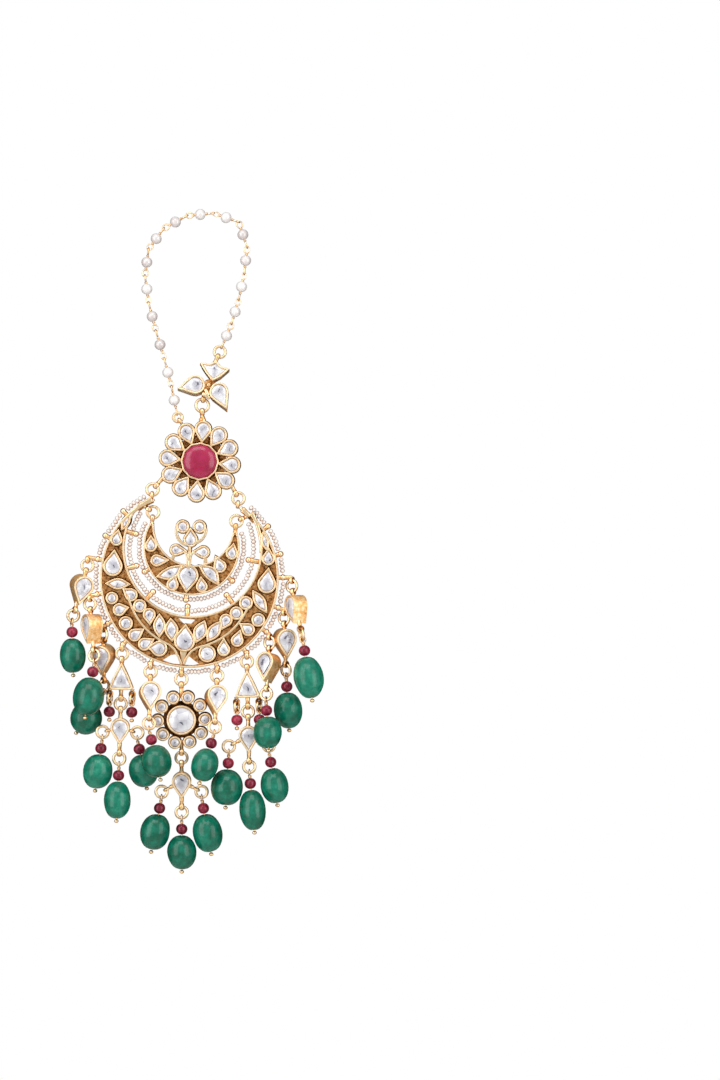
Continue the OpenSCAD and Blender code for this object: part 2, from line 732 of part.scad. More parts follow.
// The stretch of the rim that an eye and its ring need, in the turned frame
function loop_gap(d) = let (a = loop_angle(d) + (d[0] > 270 && loop_angle(d) < 90 ? 360 : 0),
    b = beside(d) ? a : d[0])
    [min(a, b) - loop_half_gap + crescent_turn, max(a, b) + loop_half_gap + crescent_turn];

// Where the drop's eye sits on that ring's wire
function hook(d) = let (r = rim_ring(d), a = d[2] - 90)
    [r[0] + ring_r * cos(a) * cos(d[1]), mid_y + ring_r * cos(a) * sin(d[1]), r[1] + ring_r * sin(a)];

// A drop's own frame, straight down from its hook
module drop_frame(k) {
    d = drops[k];
    translate(hook(d)) rotate([d[5], 0, 0]) rotate([0, -d[2], 0]) children();
}

// The rings that a drop's beads hang from, as x and z in its frame
function pear_rings(top, side) = [
    [-side[0], top - pear_at - side[1]],
    [side[0], top - pear_at - side[1]],
    [0, top - pear_len - ring_r]];
function low_rings(k) =
    k == centre_drop ? pear_rings(-centre_mid_at - ring_r, pear_side(k))
    : k == double_drops[0] || k == double_drops[1] ? pear_rings(-double_mid_at - ring_r, pear_side(k))
    : [[0, -drop_len - ring_r]];

// An eye on a wire, with a stalk down (or up, if it is negative)
module eye_stalk(z, stalk, turn = 0) {
    translate([0, 0, z]) {
        rotate([0, 0, turn]) rotate([0, 90, 0]) torus(eye_r, wire_r);
        mirror([0, 0, stalk < 0 ? 0 : 1]) translate([0, 0, eye_r])
            cylinder(r = stalk_r, h = max(abs(stalk) - eye_r, 0.1), $fn = 20);
    }
}

// Stands a drawing in XY at a height in a drop's frame
module hung(z, turn = 0) {
    translate([0, 0, z]) rotate([0, 0, turn]) upright() children();
}

module single_setting(k) {
    color(GOLD) drop_frame(k) {
        hung(-drop_at, drops[k][3]) box_setting(drop_stone);
        eye_stalk(0, drop_at - drop_r - stone_gap - wall_t + bite, drops[k][1]);
        eye_stalk(-drop_len, -(drop_len - drop_at - drop_low + 2 * bite), drops[k][4]);
    }
}

module drop_stones() {
    color(CLEAR) for (k = single_drops) drop_frame(k)
        hung(-drop_at, drops[k][3]) box_stone(drop_stone);
}

module triangle_setting(k) {
    color(GOLD) drop_frame(k) {
        hung(-triangle_at) box_setting(triangle_stone);
        eye_stalk(0, triangle_at - triangle_low + 2 * bite);
        low_eye = double_mid_at - ring_r;
        eye_stalk(-low_eye, -(low_eye - triangle_at - triangle_low + bite));
        for (x = [-side_loop_x, side_loop_x]) translate([x, 0, 0])
            eye_stalk(-side_loop_at, -(side_loop_at - triangle_at - triangle_low + bite), side_turn);
    }
}

module triangle_stones() {
    color(CLEAR) for (k = double_drops) drop_frame(k)
        hung(-triangle_at) box_stone(triangle_stone);
}

// A pear with an eye at each side and one below, under a ring's lowest wire
module pear_drop(top, side_at) {
    hung(top - pear_at) box_setting(pear_stone, pear_box);
    eye_stalk(top, pear_at - pear_r - stone_gap - wall_t + bite);
    eye_stalk(top - pear_len, -(pear_len - pear_at - pear_low + 2 * bite));
    for (m = [0, 1]) mirror([m, 0, 0]) translate([side_at[0], 0, top - pear_at - side_at[1]])
        rotate([0, atan2(side_at[1], side_at[0]), 0]) translate([-ring_r, 0, 0]) {
            torus(eye_r, wire_r);
            reach = norm(side_at) - ring_r - eye_r - pear_r - stone_gap - wall_t + bite;
            translate([-eye_r, 0, 0]) rotate([0, -90, 0]) cylinder(r = stalk_r, h = reach, $fn = 20);
        }
}

module pear_setting(k) {
    color(GOLD) drop_frame(k) pear_drop(-double_mid_at - ring_r, pear_side(k));
}

module pear_stones() {
    color(CLEAR) {
        for (k = double_drops) drop_frame(k)
            hung(-double_mid_at - ring_r - pear_at) box_stone(pear_stone, pear_box);
        drop_frame(centre_drop)
            hung(-centre_mid_at - ring_r - pear_at) box_stone(pear_stone, pear_box);
    }
}

// The middle drop

centre_petals = [for (i = [0:centre_petal_count - 1]) let (a = 2 + 360 / centre_petal_count * i)
    [ROUND, centre_petal_at * cos(a), centre_petal_at * sin(a), centre_petal_r, 0, 0, 0]];
centre_stone = [ROUND, 0, 0, centre_stone_r, 0, 0, 0];

// The flower's frame, on its back plate
module centre_flower_frame() {
    drop_frame(centre_drop) translate([0, depth / 2, 0]) hung(-flower_at) children();
}

module centre_flower_setting() {
    color(GOLD) {
        centre_flower_frame() {
            linear_extrude(plate_t) {
                circle(4.6, $fn = 48);
                for (s = centre_petals) area(stone_line(s, stone_gap + wall_t));
            }
            linear_extrude(depth) walls(concat(centre_petals, [centre_stone]));
        }
        drop_frame(centre_drop) {
            eye_stalk(0, flower_at - centre_stone_r - wall_t);
            low_eye = centre_mid_at - ring_r;
            eye_stalk(-low_eye, -(low_eye - flower_at - centre_stone_r - wall_t));
        }
    }
}

module centre_flower_stone() {
    color(CLEAR) centre_flower_frame() stones_in([centre_stone]);
}

module centre_petal_stones() {
    color(CLEAR) centre_flower_frame() stones_in(centre_petals);
}

module centre_pear_setting() {
    color(GOLD) drop_frame(centre_drop) pear_drop(-centre_mid_at - ring_r, pear_side(centre_drop));
}

module fringe_top_rings() {
    color(GOLD) for (d = drops) jump_ring(rim_ring(d)[0], mid_y, rim_ring(d)[1], ring_r, d[1]);
}

module fringe_low_rings() {
    color(GOLD) {
        for (k = [0:len(drops) - 1]) drop_frame(k)
            for (p = low_rings(k)) jump_ring(p[0], 0, p[1], ring_r, drops[k][4]);
        drop_frame(centre_drop) jump_ring(0, 0, -centre_mid_at);
        for (k = double_drops) drop_frame(k) {
            jump_ring(0, 0, -double_mid_at);
            for (x = [-side_loop_x, side_loop_x])
                jump_ring(x, 0, -side_loop_at - side_ring_r, side_ring_r, side_turn);
        }
    }
}

// Beads on head pins

// Puts what is drawn down from a ring's lowest wire at a green bead's place
module pin_frame(b) {
    p = low_rings(b[0])[b[1]];
    drop_frame(b[0]) translate([p[0], 0, p[1] - ring_r])
        rotate([b[5], 0, 0]) rotate([0, drops[b[0]][2] - b[2], 0]) children();
}

// The same for the little red beads under the triangles
module side_frames() {
    for (k = double_drops) drop_frame(k) for (x = [-side_loop_x, side_loop_x])
        translate([x, 0, -side_loop_at - 2 * side_ring_r]) children();
}

// How far below the ring's wire the green bead's middle sits
function green_at(b) = red_at + red_r + bead_gap + b[4] / 2;

module green_bead(b) {
    steps = 8;
    end = 76;
    side = [for (i = [0:steps]) let (a = -end + 2 * end * i / steps)
        [b[3] / 2 * pow(cos(a), 0.8), b[4] / 2 * sin(a) / sin(end)]];
    color(GREEN) pin_frame(b) translate([0, 0, -green_at(b)]) rotate_extrude($fn = 40)
        polygon(concat([[hole_r, -b[4] / 2]], side, [[hole_r, b[4] / 2]]));
}

module red_bead(at) {
    translate([0, 0, -at]) difference() {
        sphere(red_r, $fn = 28);
        cylinder(r = hole_r, h = 3 * red_r, center = true, $fn = 20);
    }
}

module red_beads() {
    color(RED) {
        for (b = green_beads) pin_frame(b) red_bead(red_at);
        side_frames() red_bead(side_red_at);
    }
}

// A pin with an eye round a ring's wire, and a ball at its end
module head_pin(ball_at, turn) {
    rotate([0, 0, turn]) rotate([0, 90, 0]) torus(eye_r, pin_r);
    translate([0, 0, -ball_at]) cylinder(r = pin_r, h = ball_at - eye_r, $fn = 20);
    translate([0, 0, -ball_at]) sphere(ball_r, $fn = 20);
}

module head_pins() {
    color(GOLD) {
        for (b = green_beads) pin_frame(b)
            head_pin(green_at(b) + b[4] / 2 + bead_gap + ball_r, drops[b[0]][4]);
        side_frames() head_pin(side_red_at + red_r + bead_gap + ball_r, side_turn);
    }
}

flower_setting();
flower_stones();
ruby();
crest_setting();
crest_stones();
crest_rings();
hinge_ring(0);  // hinge_ring_left
hinge_ring(1);  // hinge_ring_right
chain_pearls();
chain_links();
outer_crescent();
outer_stones_node();  // outer_stones
rim_pearl_string();
bay_pearl_string();
small_rings();
small_crescent();
small_stones_node();  // small_stones
small_pearl_string();
fringe_top_rings();
fringe_low_rings();
drop_stones();
triangle_stones();
pear_stones();
centre_flower_setting();
centre_flower_stone();
centre_petal_stones();
centre_pear_setting();
red_beads();
head_pins();
for (i = [0:len(single_drops) - 1])
    single_setting(single_drops[i]);
for (i = [0:1]) {
    triangle_setting(double_drops[i]);
    pear_setting(double_drops[i]);
}
for (i = [0:len(green_beads) - 1])
    green_bead(green_beads[i]);
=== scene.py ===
import math
import random

import bmesh
import bpy
import numpy
from mathutils import Matrix, Vector, noise


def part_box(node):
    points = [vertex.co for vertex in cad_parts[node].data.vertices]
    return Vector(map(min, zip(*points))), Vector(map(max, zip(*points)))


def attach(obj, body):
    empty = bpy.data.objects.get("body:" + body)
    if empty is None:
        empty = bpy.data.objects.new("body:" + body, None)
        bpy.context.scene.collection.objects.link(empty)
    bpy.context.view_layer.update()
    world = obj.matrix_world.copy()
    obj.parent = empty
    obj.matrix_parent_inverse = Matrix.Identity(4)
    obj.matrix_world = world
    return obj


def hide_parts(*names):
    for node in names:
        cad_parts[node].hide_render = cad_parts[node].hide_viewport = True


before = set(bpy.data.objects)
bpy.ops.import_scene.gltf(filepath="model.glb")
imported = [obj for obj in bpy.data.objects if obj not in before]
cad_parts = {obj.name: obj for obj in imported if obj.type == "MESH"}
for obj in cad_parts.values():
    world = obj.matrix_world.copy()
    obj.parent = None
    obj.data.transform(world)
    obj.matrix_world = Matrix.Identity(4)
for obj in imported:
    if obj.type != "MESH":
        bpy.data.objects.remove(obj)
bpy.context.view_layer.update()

# Studio. A pale round floor far below the hanging earring, under a white sky, with
# two tall soft boxes, a soft top light and dark boards that the gold's edges mirror.
# The camera stands level before it, as far off as a long lens needs.
scene = bpy.context.scene
scene.view_settings.view_transform = "Standard"
scene.view_settings.look = "None"

camera_data = bpy.data.cameras.new("camera")
camera_data.sensor_width = 36
camera_data.lens = 200
camera = bpy.data.objects.new("camera", camera_data)
# At 1.5 m the frame is 270 mm high, so 4 pixels of the photograph are 1 mm
camera.location = (0.0400, -1.5, -0.0196)
camera.rotation_euler = (math.pi / 2, 0, 0)
scene.collection.objects.link(camera)
scene.camera = camera

sky = bpy.data.worlds.new("sky")
sky.use_nodes = True
sky.node_tree.nodes["Background"].inputs["Color"].default_value = (1.0, 1.0, 1.0, 1)
sky.node_tree.nodes["Background"].inputs["Strength"].default_value = 0.62
scene.world = sky


def new_finish(name):
    """A new material and its node tree"""
    finish = bpy.data.materials.new(name)
    finish.use_nodes = True
    return finish, finish.node_tree


def wire_up(tree, node, wires):
    """Gives a node's inputs their values, or the outputs of other nodes"""
    for slot, value in wires.items():
        if isinstance(value, bpy.types.NodeSocket):
            tree.links.new(value, node.inputs[slot])
        else:
            node.inputs[slot].default_value = value


def set_looks(tree, looks):
    """Sets what a material's shader shows"""
    wire_up(tree, tree.nodes["Principled BSDF"], looks)


def flat_paint(name, color, glow=0.0):
    """A plain matt paint for the studio's own boards, or one that only glows"""
    paint, tree = new_finish(name)
    if glow:
        set_looks(tree, {"Base Color": (0, 0, 0, 1), "Specular IOR Level": 0, "Emission Color": (*color, 1),
                         "Emission Strength": glow})
    else:
        set_looks(tree, {"Base Color": (*color, 1)})
    set_looks(tree, {"Roughness": 0.8})
    return paint


def turned_to(along):
    """The turn that brings a part's Z to a direction"""
    return Vector(along).to_track_quat("Z", "Y").to_matrix().to_4x4()


def make_object(name, bm, material):
    """An object of a mesh and a material, in the scene"""
    mesh = bpy.data.meshes.new(name)
    bm.to_mesh(mesh)
    bm.free()
    mesh.materials.append(material)
    made = bpy.data.objects.new(name, mesh)
    scene.collection.objects.link(made)
    return made


def stand_board(name, centre, width, height, paint):
    """An upright board that faces the earring, seen in its gold but not by the camera"""
    bm = bmesh.new()
    bmesh.ops.create_grid(bm, x_segments=1, y_segments=1, size=0.5)
    bmesh.ops.scale(bm, verts=bm.verts, vec=(width, height, 1))
    bm.transform(Matrix.Translation(centre) @ turned_to(-Vector(centre)))
    board = make_object(name, bm, paint)
    board.visible_camera = False
    return board


# The white backdrop is for the camera alone, so the gold's edges mirror the dark boards
white = flat_paint("backdrop", (1, 1, 1), glow=1.0)
backdrop = stand_board("backdrop", (0.06, 2.2, -0.03), 1.6, 2.0, white)
backdrop.visible_camera = True
backdrop.visible_glossy = False
backdrop.visible_diffuse = False
dark = flat_paint("dark_board", (0.03, 0.024, 0.02))
stand_board("back_board", (0.0, 1.6, 0.0), 3.6, 3.0, dark)
brown = flat_paint("brown_board", (0.09, 0.055, 0.032))
stand_board("left_board", (-1.10, 0.55, 0.0), 1.3, 2.4, brown)
stand_board("right_board", (1.15, 0.55, 0.0), 1.3, 2.4, brown)

floor_mesh = bmesh.new()
bmesh.ops.create_circle(floor_mesh, cap_ends=True, segments=96, radius=4)
bmesh.ops.translate(floor_mesh, verts=floor_mesh.verts, vec=(0, 0, -0.8))
make_object("floor", floor_mesh, flat_paint("pale_floor", (0.82, 0.81, 0.79)))


def soft_box(name, at, aim, width, height, power):
    """A soft rectangular lamp turned to a point"""
    data = bpy.data.lights.new(name, "AREA")
    data.shape = "RECTANGLE"
    data.size = width
    data.size_y = height
    data.energy = power
    lamp = bpy.data.objects.new(name, data)
    lamp.location = at
    lamp.rotation_euler = (Vector(aim) - Vector(at)).to_track_quat("-Z", "Y").to_euler()
    scene.collection.objects.link(lamp)


soft_box("left_box", (-0.95, -0.85, 0.20), (0, 0, -0.02), 0.85, 1.5, 8.5)
soft_box("right_box", (0.95, -0.90, 0.15), (0, 0, -0.02), 0.75, 1.4, 7)
soft_box("top_box", (-0.1, -0.7, 1.0), (0, 0, -0.02), 1.0, 0.6, 5)


# Flower stud. Twelve petal cups and a ruby cup of hand-made, high-carat gold are soldered
# on a round plate, with strip loops for the rings round its edge and the ear post behind.
# Tops are painted bright and cream-yellow as a highlight; the floors between are painted brown as shade, and
# grainy.
def add_node(tree, kind, output, wires, **settings):
    """A node of a material, as one of its outputs"""
    node = tree.nodes.new("ShaderNode" + kind)
    for name, value in settings.items():
        setattr(node, name, value)
    wire_up(tree, node, wires)
    return node.outputs[output]


def add_math(tree, operation, *terms, **settings):
    """The result of one step of arithmetic"""
    return add_node(tree, "Math", "Value", dict(enumerate(terms)), operation=operation, **settings)


def add_tint(tree, share, first, last, *between):
    """A colour that changes with a share; each stop is a place and a colour"""
    node = tree.nodes.new("ShaderNodeValToRGB")
    wire_up(tree, node, {"Fac": share})
    stops = node.color_ramp.elements
    for stop, (position, color) in zip(stops[:], (first, last)):
        stop.position = position
        stop.color = (*color, 1)
    for position, color in between:
        stops.new(position).color = (*color, 1)
    return node.outputs["Color"]


def in_mm(tree):
    """The piece's own coordinates in mm"""
    where = add_node(tree, "TexCoord", "Object", {})
    return add_node(tree, "Mapping", "Vector", {"Vector": where, "Scale": (1000, 1000, 1000)})


def gold(name, rough=0.28):
    """Gold with painted light by the lift attribute: painted shade that darkens it towards a setting's floor,
    and painted highlights on ridges and tops
    """
    metal, tree = new_finish(name)
    here = in_mm(tree)
    lift = add_node(tree, "Attribute", "Fac", {}, attribute_name="lift")
    grime = add_node(tree, "TexNoise", "Fac", {"Vector": here, "Scale": 1.1, "Detail": 6, "Roughness": 0.75})
    # The grime, a random mottle, is strongest half way up, so the painted highlight on the ridges and the
    # painted shade in the crevices stay clear
    half_way = add_math(tree, "MULTIPLY", lift, add_math(tree, "SUBTRACT", 1.0, lift))
    strength = add_math(tree, "MULTIPLY", half_way, 11.0)
    spots = add_math(tree, "MULTIPLY", strength, add_math(tree, "SUBTRACT", grime, 0.5))
    height = add_math(tree, "ADD", lift, spots, use_clamp=True)
    # The lift's painted shade and painted highlight choose the gold's colour, from dark brown to cream
    tint = add_tint(tree, height, (0.0, (0.030, 0.011, 0.003)), (1.0, (1.0, 0.83, 0.56)),
                    (0.14, (0.17, 0.065, 0.018)), (0.38, (0.66, 0.32, 0.105)), (0.72, (0.95, 0.55, 0.21)))
    polish = add_node(tree, "MapRange", "Result", {"Value": height, "To Min": 0.62, "To Max": rough})
    marks = add_node(tree, "TexNoise", "Fac", {"Vector": here, "Scale": 2.8, "Detail": 5})
    dents = add_node(tree, "Bump", "Normal", {"Strength": 0.5, "Distance": 0.00006, "Height": marks})
    set_looks(tree, {"Metallic": 1.0, "Base Color": tint, "Roughness": polish, "Normal": dents})
    return metal


wall_gold = gold("wall_gold")


def solids_of(node):
    """The separate solids of a node of the frame, each as its vertices and faces"""
    bm = bmesh.new()
    bm.from_mesh(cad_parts[node].data)
    bmesh.ops.remove_doubles(bm, verts=bm.verts, dist=2e-6)
    bm.normal_update()
    bm.verts.index_update()
    seen = set()
    found = []
    for start in bm.verts:
        if start.index in seen:
            continue
        seen.add(start.index)
        group = [start]
        for vertex in group:
            for edge in vertex.link_edges:
                other = edge.other_vert(vertex)
                if other.index not in seen:
                    seen.add(other.index)
                    group.append(other)
        faces = {face.index: face for vertex in group for face in vertex.link_faces}
        found.append(([vertex.co.copy() for vertex in group],
                      [(face.normal.copy(), face.calc_area()) for face in faces.values()]))
    bm.free()
    return found


def stones_of(node):
    """Each stone of a node: its place (X right, Y up, Z out of the setting, in mm), its
    foot's outline in that place, and how far its girdle and table stand over the foot"""
    stones = []
    for points, faces in solids_of(node):
        back = max((f[0] for f in faces),
                   key=lambda n: sum(area for normal, area in faces if normal.dot(n) > 0.9999))
        out = -back
        up = (Vector((0, 0, 1)) - out * out.z).normalized()
        right = up.cross(out)
        low = min(p.dot(out) for p in points)
        foot = [p for p in points if p.dot(out) - low < 2e-5]
        centre = sum(foot, Vector()) / len(foot)
        line = [Vector(((p - centre).dot(right), (p - centre).dot(up))) * 1000 for p in foot]
        line.sort(key=lambda p: math.atan2(p.y, p.x))
        heights = []
        for height in sorted((p.dot(out) - low) * 1000 for p in points):
            if not heights or height - heights[-1] > 0.1:
                heights.append(height)
        place = Matrix((right, up, out)).transposed().to_4x4()
        place = Matrix.Translation(centre) @ place @ Matrix.Scale(0.001, 4)
        stones.append({"place": place, "line": line, "girdle": heights[-2], "table": heights[-1]})
    return stones


def put(bm, part, place):
    """Adds a part, drawn in its own place's millimetres, to a piece"""
    part.transform(place)
    mesh = bpy.data.meshes.new("part")
    part.to_mesh(mesh)
    part.free()
    bm.from_mesh(mesh)
    bpy.data.meshes.remove(mesh)


def put_at(bm, part, centre, turn=Matrix()):
    """Adds a part at a point, turned"""
    put(bm, part, Matrix.Translation(centre) @ turn @ Matrix.Scale(0.001, 4))


def mark(part, name, value_at):
    """Writes an attribute, whose value at each vertex value_at gives"""
    layer = part.verts.layers.float.new(name)
    for vertex in part.verts:
        vertex[layer] = value_at(vertex.co)


def raise_faces(part, faces, height):
    """Raises flat faces into a block"""
    made = bmesh.ops.extrude_face_region(part, geom=faces)["geom"]
    top = [v for v in made if isinstance(v, bmesh.types.BMVert)]
    bmesh.ops.translate(part, verts=top, vec=(0, 0, height))


def add_plate(bm, node, place, back_depth, thickness, least=0.0):
    """The back plate of a setting, raised from the frame's own back face, which lies
    back_depth behind a stone's foot"""
    part = bmesh.new()
    part.from_mesh(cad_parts[node].data)
    bmesh.ops.remove_doubles(part, verts=part.verts, dist=2e-6)
    part.transform(place.inverted())
    part.normal_update()
    deepest = -back_depth
    off = [f for f in part.faces if any(abs(v.co.z - deepest) > 0.02 for v in f.verts)]
    bmesh.ops.delete(part, geom=off, context="FACES")
    raise_faces(part, part.faces[:], thickness)
    # The plate's top, the floor between the walls, is painted dark by its low lift as shade
    mark(part, "lift", lambda co: least if co.z > deepest + thickness / 2 else 0.8)
    put(bm, part, place)


def smooth_line(line, steps=4, corner=50):
    """A closed line through the points, with its sharp corners kept"""
    count = len(line)
    slopes = []
    for i in range(count):
        before = line[i] - line[i - 1]
        after = line[(i + 1) % count] - line[i]
        sharp = before.angle(after) > math.radians(corner)
        slopes.append(None if sharp else (before + after).normalized())
    drawn = []
    for i in range(count):
        a, b = line[i], line[(i + 1) % count]
        length = (b - a).length
        slope_a = (slopes[i] or (b - a).normalized()) * length
        slope_b = (slopes[(i + 1) % count] or (b - a).normalized()) * length
        for k in range(steps):
            t = k / steps
            drawn.append(a * (2 * t**3 - 3 * t**2 + 1) + slope_a * (t**3 - 2 * t**2 + t)
                         + b * (3 * t**2 - 2 * t**3) + slope_b * (t**3 - t**2))
    return drawn


def grown(line, by):
    """A closed line moved outwards"""
    moved = []
    for i, point in enumerate(line):
        before = (point - line[i - 1]).normalized()
        after = (line[(i + 1) % len(line)] - point).normalized()
        out = Vector((before.y + after.y, -before.x - after.x))
        spread = max(out.length_squared / 2, 0.5)
        moved.append(point + out * by / spread)
    return moved


def lift_from(part, low, top, least=0.0, most=0.95, ridge=0.0):
    """Writes a lift from least at a floor to most at a wall's top, the painted shade and light of each
    vertex's height, and lowers all but the top's ridge by a part of it, which leaves a painted highlight
    along the ridge"""
    def lift_at(co):
        share = min(max((co.z - low) / (top - low), 0), 1)
        off_ridge = min(1, max(0, (top - co.z) / 0.17))
        return least + (most - least) * share**1.6 - ridge * off_ridge
    mark(part, "lift", lift_at)


def round_off(part, edges, soft, segments):
    """Rounds some edges"""
    bmesh.ops.bevel(part, geom=edges, offset=soft, offset_type="OFFSET", segments=segments,
                    profile=0.5, affect="EDGES", material=-1, clamp_overlap=True)


def raise_round(part, faces, height, soft, low, least=0.0):
    """Raises flat faces into a block, rounds its upper edges, and writes its lift, its painted shade and
    painted highlight
    """
    raise_faces(part, faces, height)
    part.normal_update()
    level = low + height
    rim = [e for e in part.edges if all(abs(v.co.z - level) < 1e-4 for v in e.verts)
           and any(abs(f.normal.z) < 0.5 for f in e.link_faces)]
    round_off(part, rim, soft, 3)
    # All but the ridge is painted darker, most on walls over a dark floor, leaving a painted highlight along
    # the ridge
    lift_from(part, low, level, least, ridge=0.34 if least < 0.7 else 0.1)


# Unless it is set, this seed follows the clock, and the wear would change with each run
noise.seed_set(7)


def hand_worn(part, amount, seed):
    """Bends a part slightly out of true, as hand work is"""
    for vertex in part.verts:
        push = noise.noise_vector(vertex.co * 0.75 + Vector((seed * 3.7, seed * 1.9, seed)))
        vertex.co += push * amount


def add_wall(bm, place, line, low, top, inside, width, soft, seed=0, least=0.1, flare=0.5):
    """A wall bent round a closed line, from low to top, with a rounded edge and a foot
    that solder has spread outwards by flare, painted dark as shade where the wall meets the floor"""
    part = bmesh.new()
    face = part.faces.new([part.verts.new((p.x, p.y, low)) for p in grown(line, inside + width)])
    part.normal_update()
    ring = bmesh.ops.inset_individual(part, faces=[face], thickness=width, use_even_offset=True)
    bmesh.ops.delete(part, geom=[face], context="FACES_ONLY")
    raise_round(part, ring["faces"], top - low, soft, low, least)
    if flare:
        crease = low + 0.42
        bmesh.ops.bisect_plane(part, geom=part.verts[:] + part.edges[:] + part.faces[:],
                               plane_co=(0, 0, crease), plane_no=(0, 0, 1))
        heart = sum((v.co for v in part.verts), Vector()) / len(part.verts)
        lift = part.verts.layers.float["lift"]
        # The foot and the crease over it are painted dark as the shade where the wall meets the floor
        for rank, vertex in enumerate(part.verts):
            out = (vertex.co - heart).normalized()
            if vertex.co.z < low + 0.01:
                vertex[lift] = 0.1 if flare > 0.25 else 0.25
                vertex.co += out * (flare if rank < len(line) else 0)
            elif vertex.co.z < crease + 0.01:
                vertex[lift] = 0.02
                vertex.co += out * min(flare / 2, 0.13)
    hand_worn(part, 0.05, seed)
    put(bm, part, place)


foot_over_back = 1.05
plate_thick = 1.0
wall_over_girdle = 0.5
wall_wide = 0.5
wall_soft = 0.19


def add_cup(bm, stone, seed, low=-0.1, **ways):
    """The wall bent round a stone, from low to over its girdle"""
    add_wall(bm, stone["place"], smooth_line(stone["line"]), low, stone["girdle"] + wall_over_girdle, 0.0,
             wall_wide, wall_soft, seed=seed, **ways)


petals = stones_of("flower_stones")
stud_gold = bmesh.new()
add_plate(stud_gold, "flower_setting", petals[0]["place"], foot_over_back, plate_thick, least=0.3)
for number, stone in enumerate(petals):
    add_cup(stud_gold, stone, number, flare=0.2)

# The ruby's wall is pressed over it in a dozen small points
ruby_low, ruby_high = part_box("ruby")
ruby_radius = (ruby_high.x - ruby_low.x) * 500
ruby_points = 12
face_on = Matrix(((0.001, 0, 0, 0), (0, 0, -0.001, 0), (0, 0.001, 0, 0), (0, 0, 0, 1)))
ruby_wall = [Vector((math.cos(a), math.sin(a))) * (ruby_radius + 0.07 * math.cos(ruby_points * a + 0.5))
             for a in (math.tau * k / 144 for k in range(144))]
add_wall(stud_gold, face_on, ruby_wall, 0.9, 3.25, 0.02, 0.46, 0.17, seed=30)


def facing_light_lift(full, off, radius):
    """A round part's lift: a painted highlight where it faces front or back, painted shade at its sides"""
    return full * (0.1 + 0.9 * min(1, abs(off.y) / (0.85 * radius))**1.4)


def add_rod(bm, start, end, radius, end_radius=None, lift_here=0.85, soft=0.0):
    """A round rod between two points, its ends rounded by soft"""
    part = bmesh.new()
    run = Vector(end) - Vector(start)
    bmesh.ops.create_cone(part, cap_ends=True, segments=16, radius1=radius,
                          radius2=radius if end_radius is None else end_radius, depth=run.length * 1000)
    if soft:
        round_off(part, [e for e in part.edges if abs(e.verts[0].co.z - e.verts[1].co.z) < 1e-6], soft, 2)
    turn = turned_to(run)
    to_depth = abs(run.normalized().y) > 0.7
    mark(part, "lift", lambda co: (lift_here if to_depth
                                   else facing_light_lift(lift_here, turn @ co.xy.to_3d(), radius)))
    put_at(bm, part, (Vector(start) + Vector(end)) / 2, turn)


def add_ball(bm, centre, radius, squash=(1, 1, 1), lift_here=0.9):
    """A little ball of gold, flattened by squash"""
    part = bmesh.new()
    bmesh.ops.create_uvsphere(part, u_segments=16, v_segments=10, radius=radius)
    bmesh.ops.scale(part, verts=part.verts, vec=squash)
    mark(part, "lift", lambda co: facing_light_lift(lift_here, co, radius))
    put_at(bm, part, centre)


# The tab over the top petal carries the crest's ring; a bead of solder fills its foot
add_rod(stud_gold, (0.0008, -0.0015, 0.0097), (0.0006, -0.0015, 0.0116), 0.95, 0.45, soft=0.15)
add_ball(stud_gold, (0.0003, -0.0022, 0.0104), 0.5, (1, 0.8, 1))


def middle(points):
    """The middle of the box round some points"""
    return Vector([(min(p[i] for p in points) + max(p[i] for p in points)) / 2 for i in range(3)])


def spread_along(points, centre, rank):
    """The direction in which points spread least (rank 0) or most (rank 2)"""
    spread = numpy.cov(numpy.array([p - centre for p in points]).T)
    return Vector(numpy.linalg.eigh(spread)[1][:, rank])


def rings_of(node, wire=0.25):
    """The rings of a node, each as its centre, its axis and its mean radius in mm"""
    rings = []
    for points, faces in solids_of(node):
        centre = middle(points)
        axis = spread_along(points, centre, 0)
        reach = max((p - centre).length for p in points) * 1000
        rings.append((centre, axis if axis.y > 0 else -axis, reach - wire))
    return rings


def on_ring(ring, degrees):
    """The point on a ring's wire at an angle up from its right side"""
    centre, axis, radius = ring
    up = (Vector((0, 0, 1)) - axis * axis.z).normalized()
    right = axis.cross(up) if axis.cross(up).x > 0 else up.cross(axis)
    turn = math.radians(degrees)
    return centre + (right * math.cos(turn) + up * math.sin(turn)) * radius * 0.001


def turn_round(part, steps):
    """Turns a profile right round its Z into a closed shape"""
    bmesh.ops.spin(part, geom=part.verts[:] + part.edges[:], cent=(0, 0, 0), axis=(0, 0, 1),
                   dvec=(0, 0, 0), angle=2 * math.pi, steps=steps, use_merge=True)


def add_section(part, segments, wire, radius):
    """The round section of a wire that is to be turned at a radius"""
    bmesh.ops.create_circle(part, segments=segments, radius=wire)
    bmesh.ops.rotate(part, verts=part.verts, cent=(0, 0, 0), matrix=Matrix.Rotation(math.pi / 2, 3, "X"))
    bmesh.ops.translate(part, verts=part.verts, vec=(radius, 0, 0))


def add_ring(bm, centre, axis, radius, wire, band=1.0, steps=32, squeeze=Matrix()):
    """A ring of round wire, or of strip if band widens it along its axis"""
    part = bmesh.new()
    add_section(part, 10, wire, radius)
    bmesh.ops.scale(part, verts=part.verts, vec=(1, 1, band))
    turn_round(part, steps)
    turn = turned_to(axis)

    def lift_at(co):
        # A round wire gets a painted highlight facing front or back and painted shade at its sides; a strip
        # is painted brighter outside than inside and darker at its edges, as light and shade
        if band == 1:
            return facing_light_lift(0.95, turn @ (co - (co.xy.normalized() * radius).to_3d()), wire)
        across = abs(co.z) / (wire * band)
        return (0.90 if co.xy.length > radius else 0.57) - 0.5 * across**3
    mark(part, "lift", lift_at)
    put_at(bm, part, centre, squeeze @ turn)


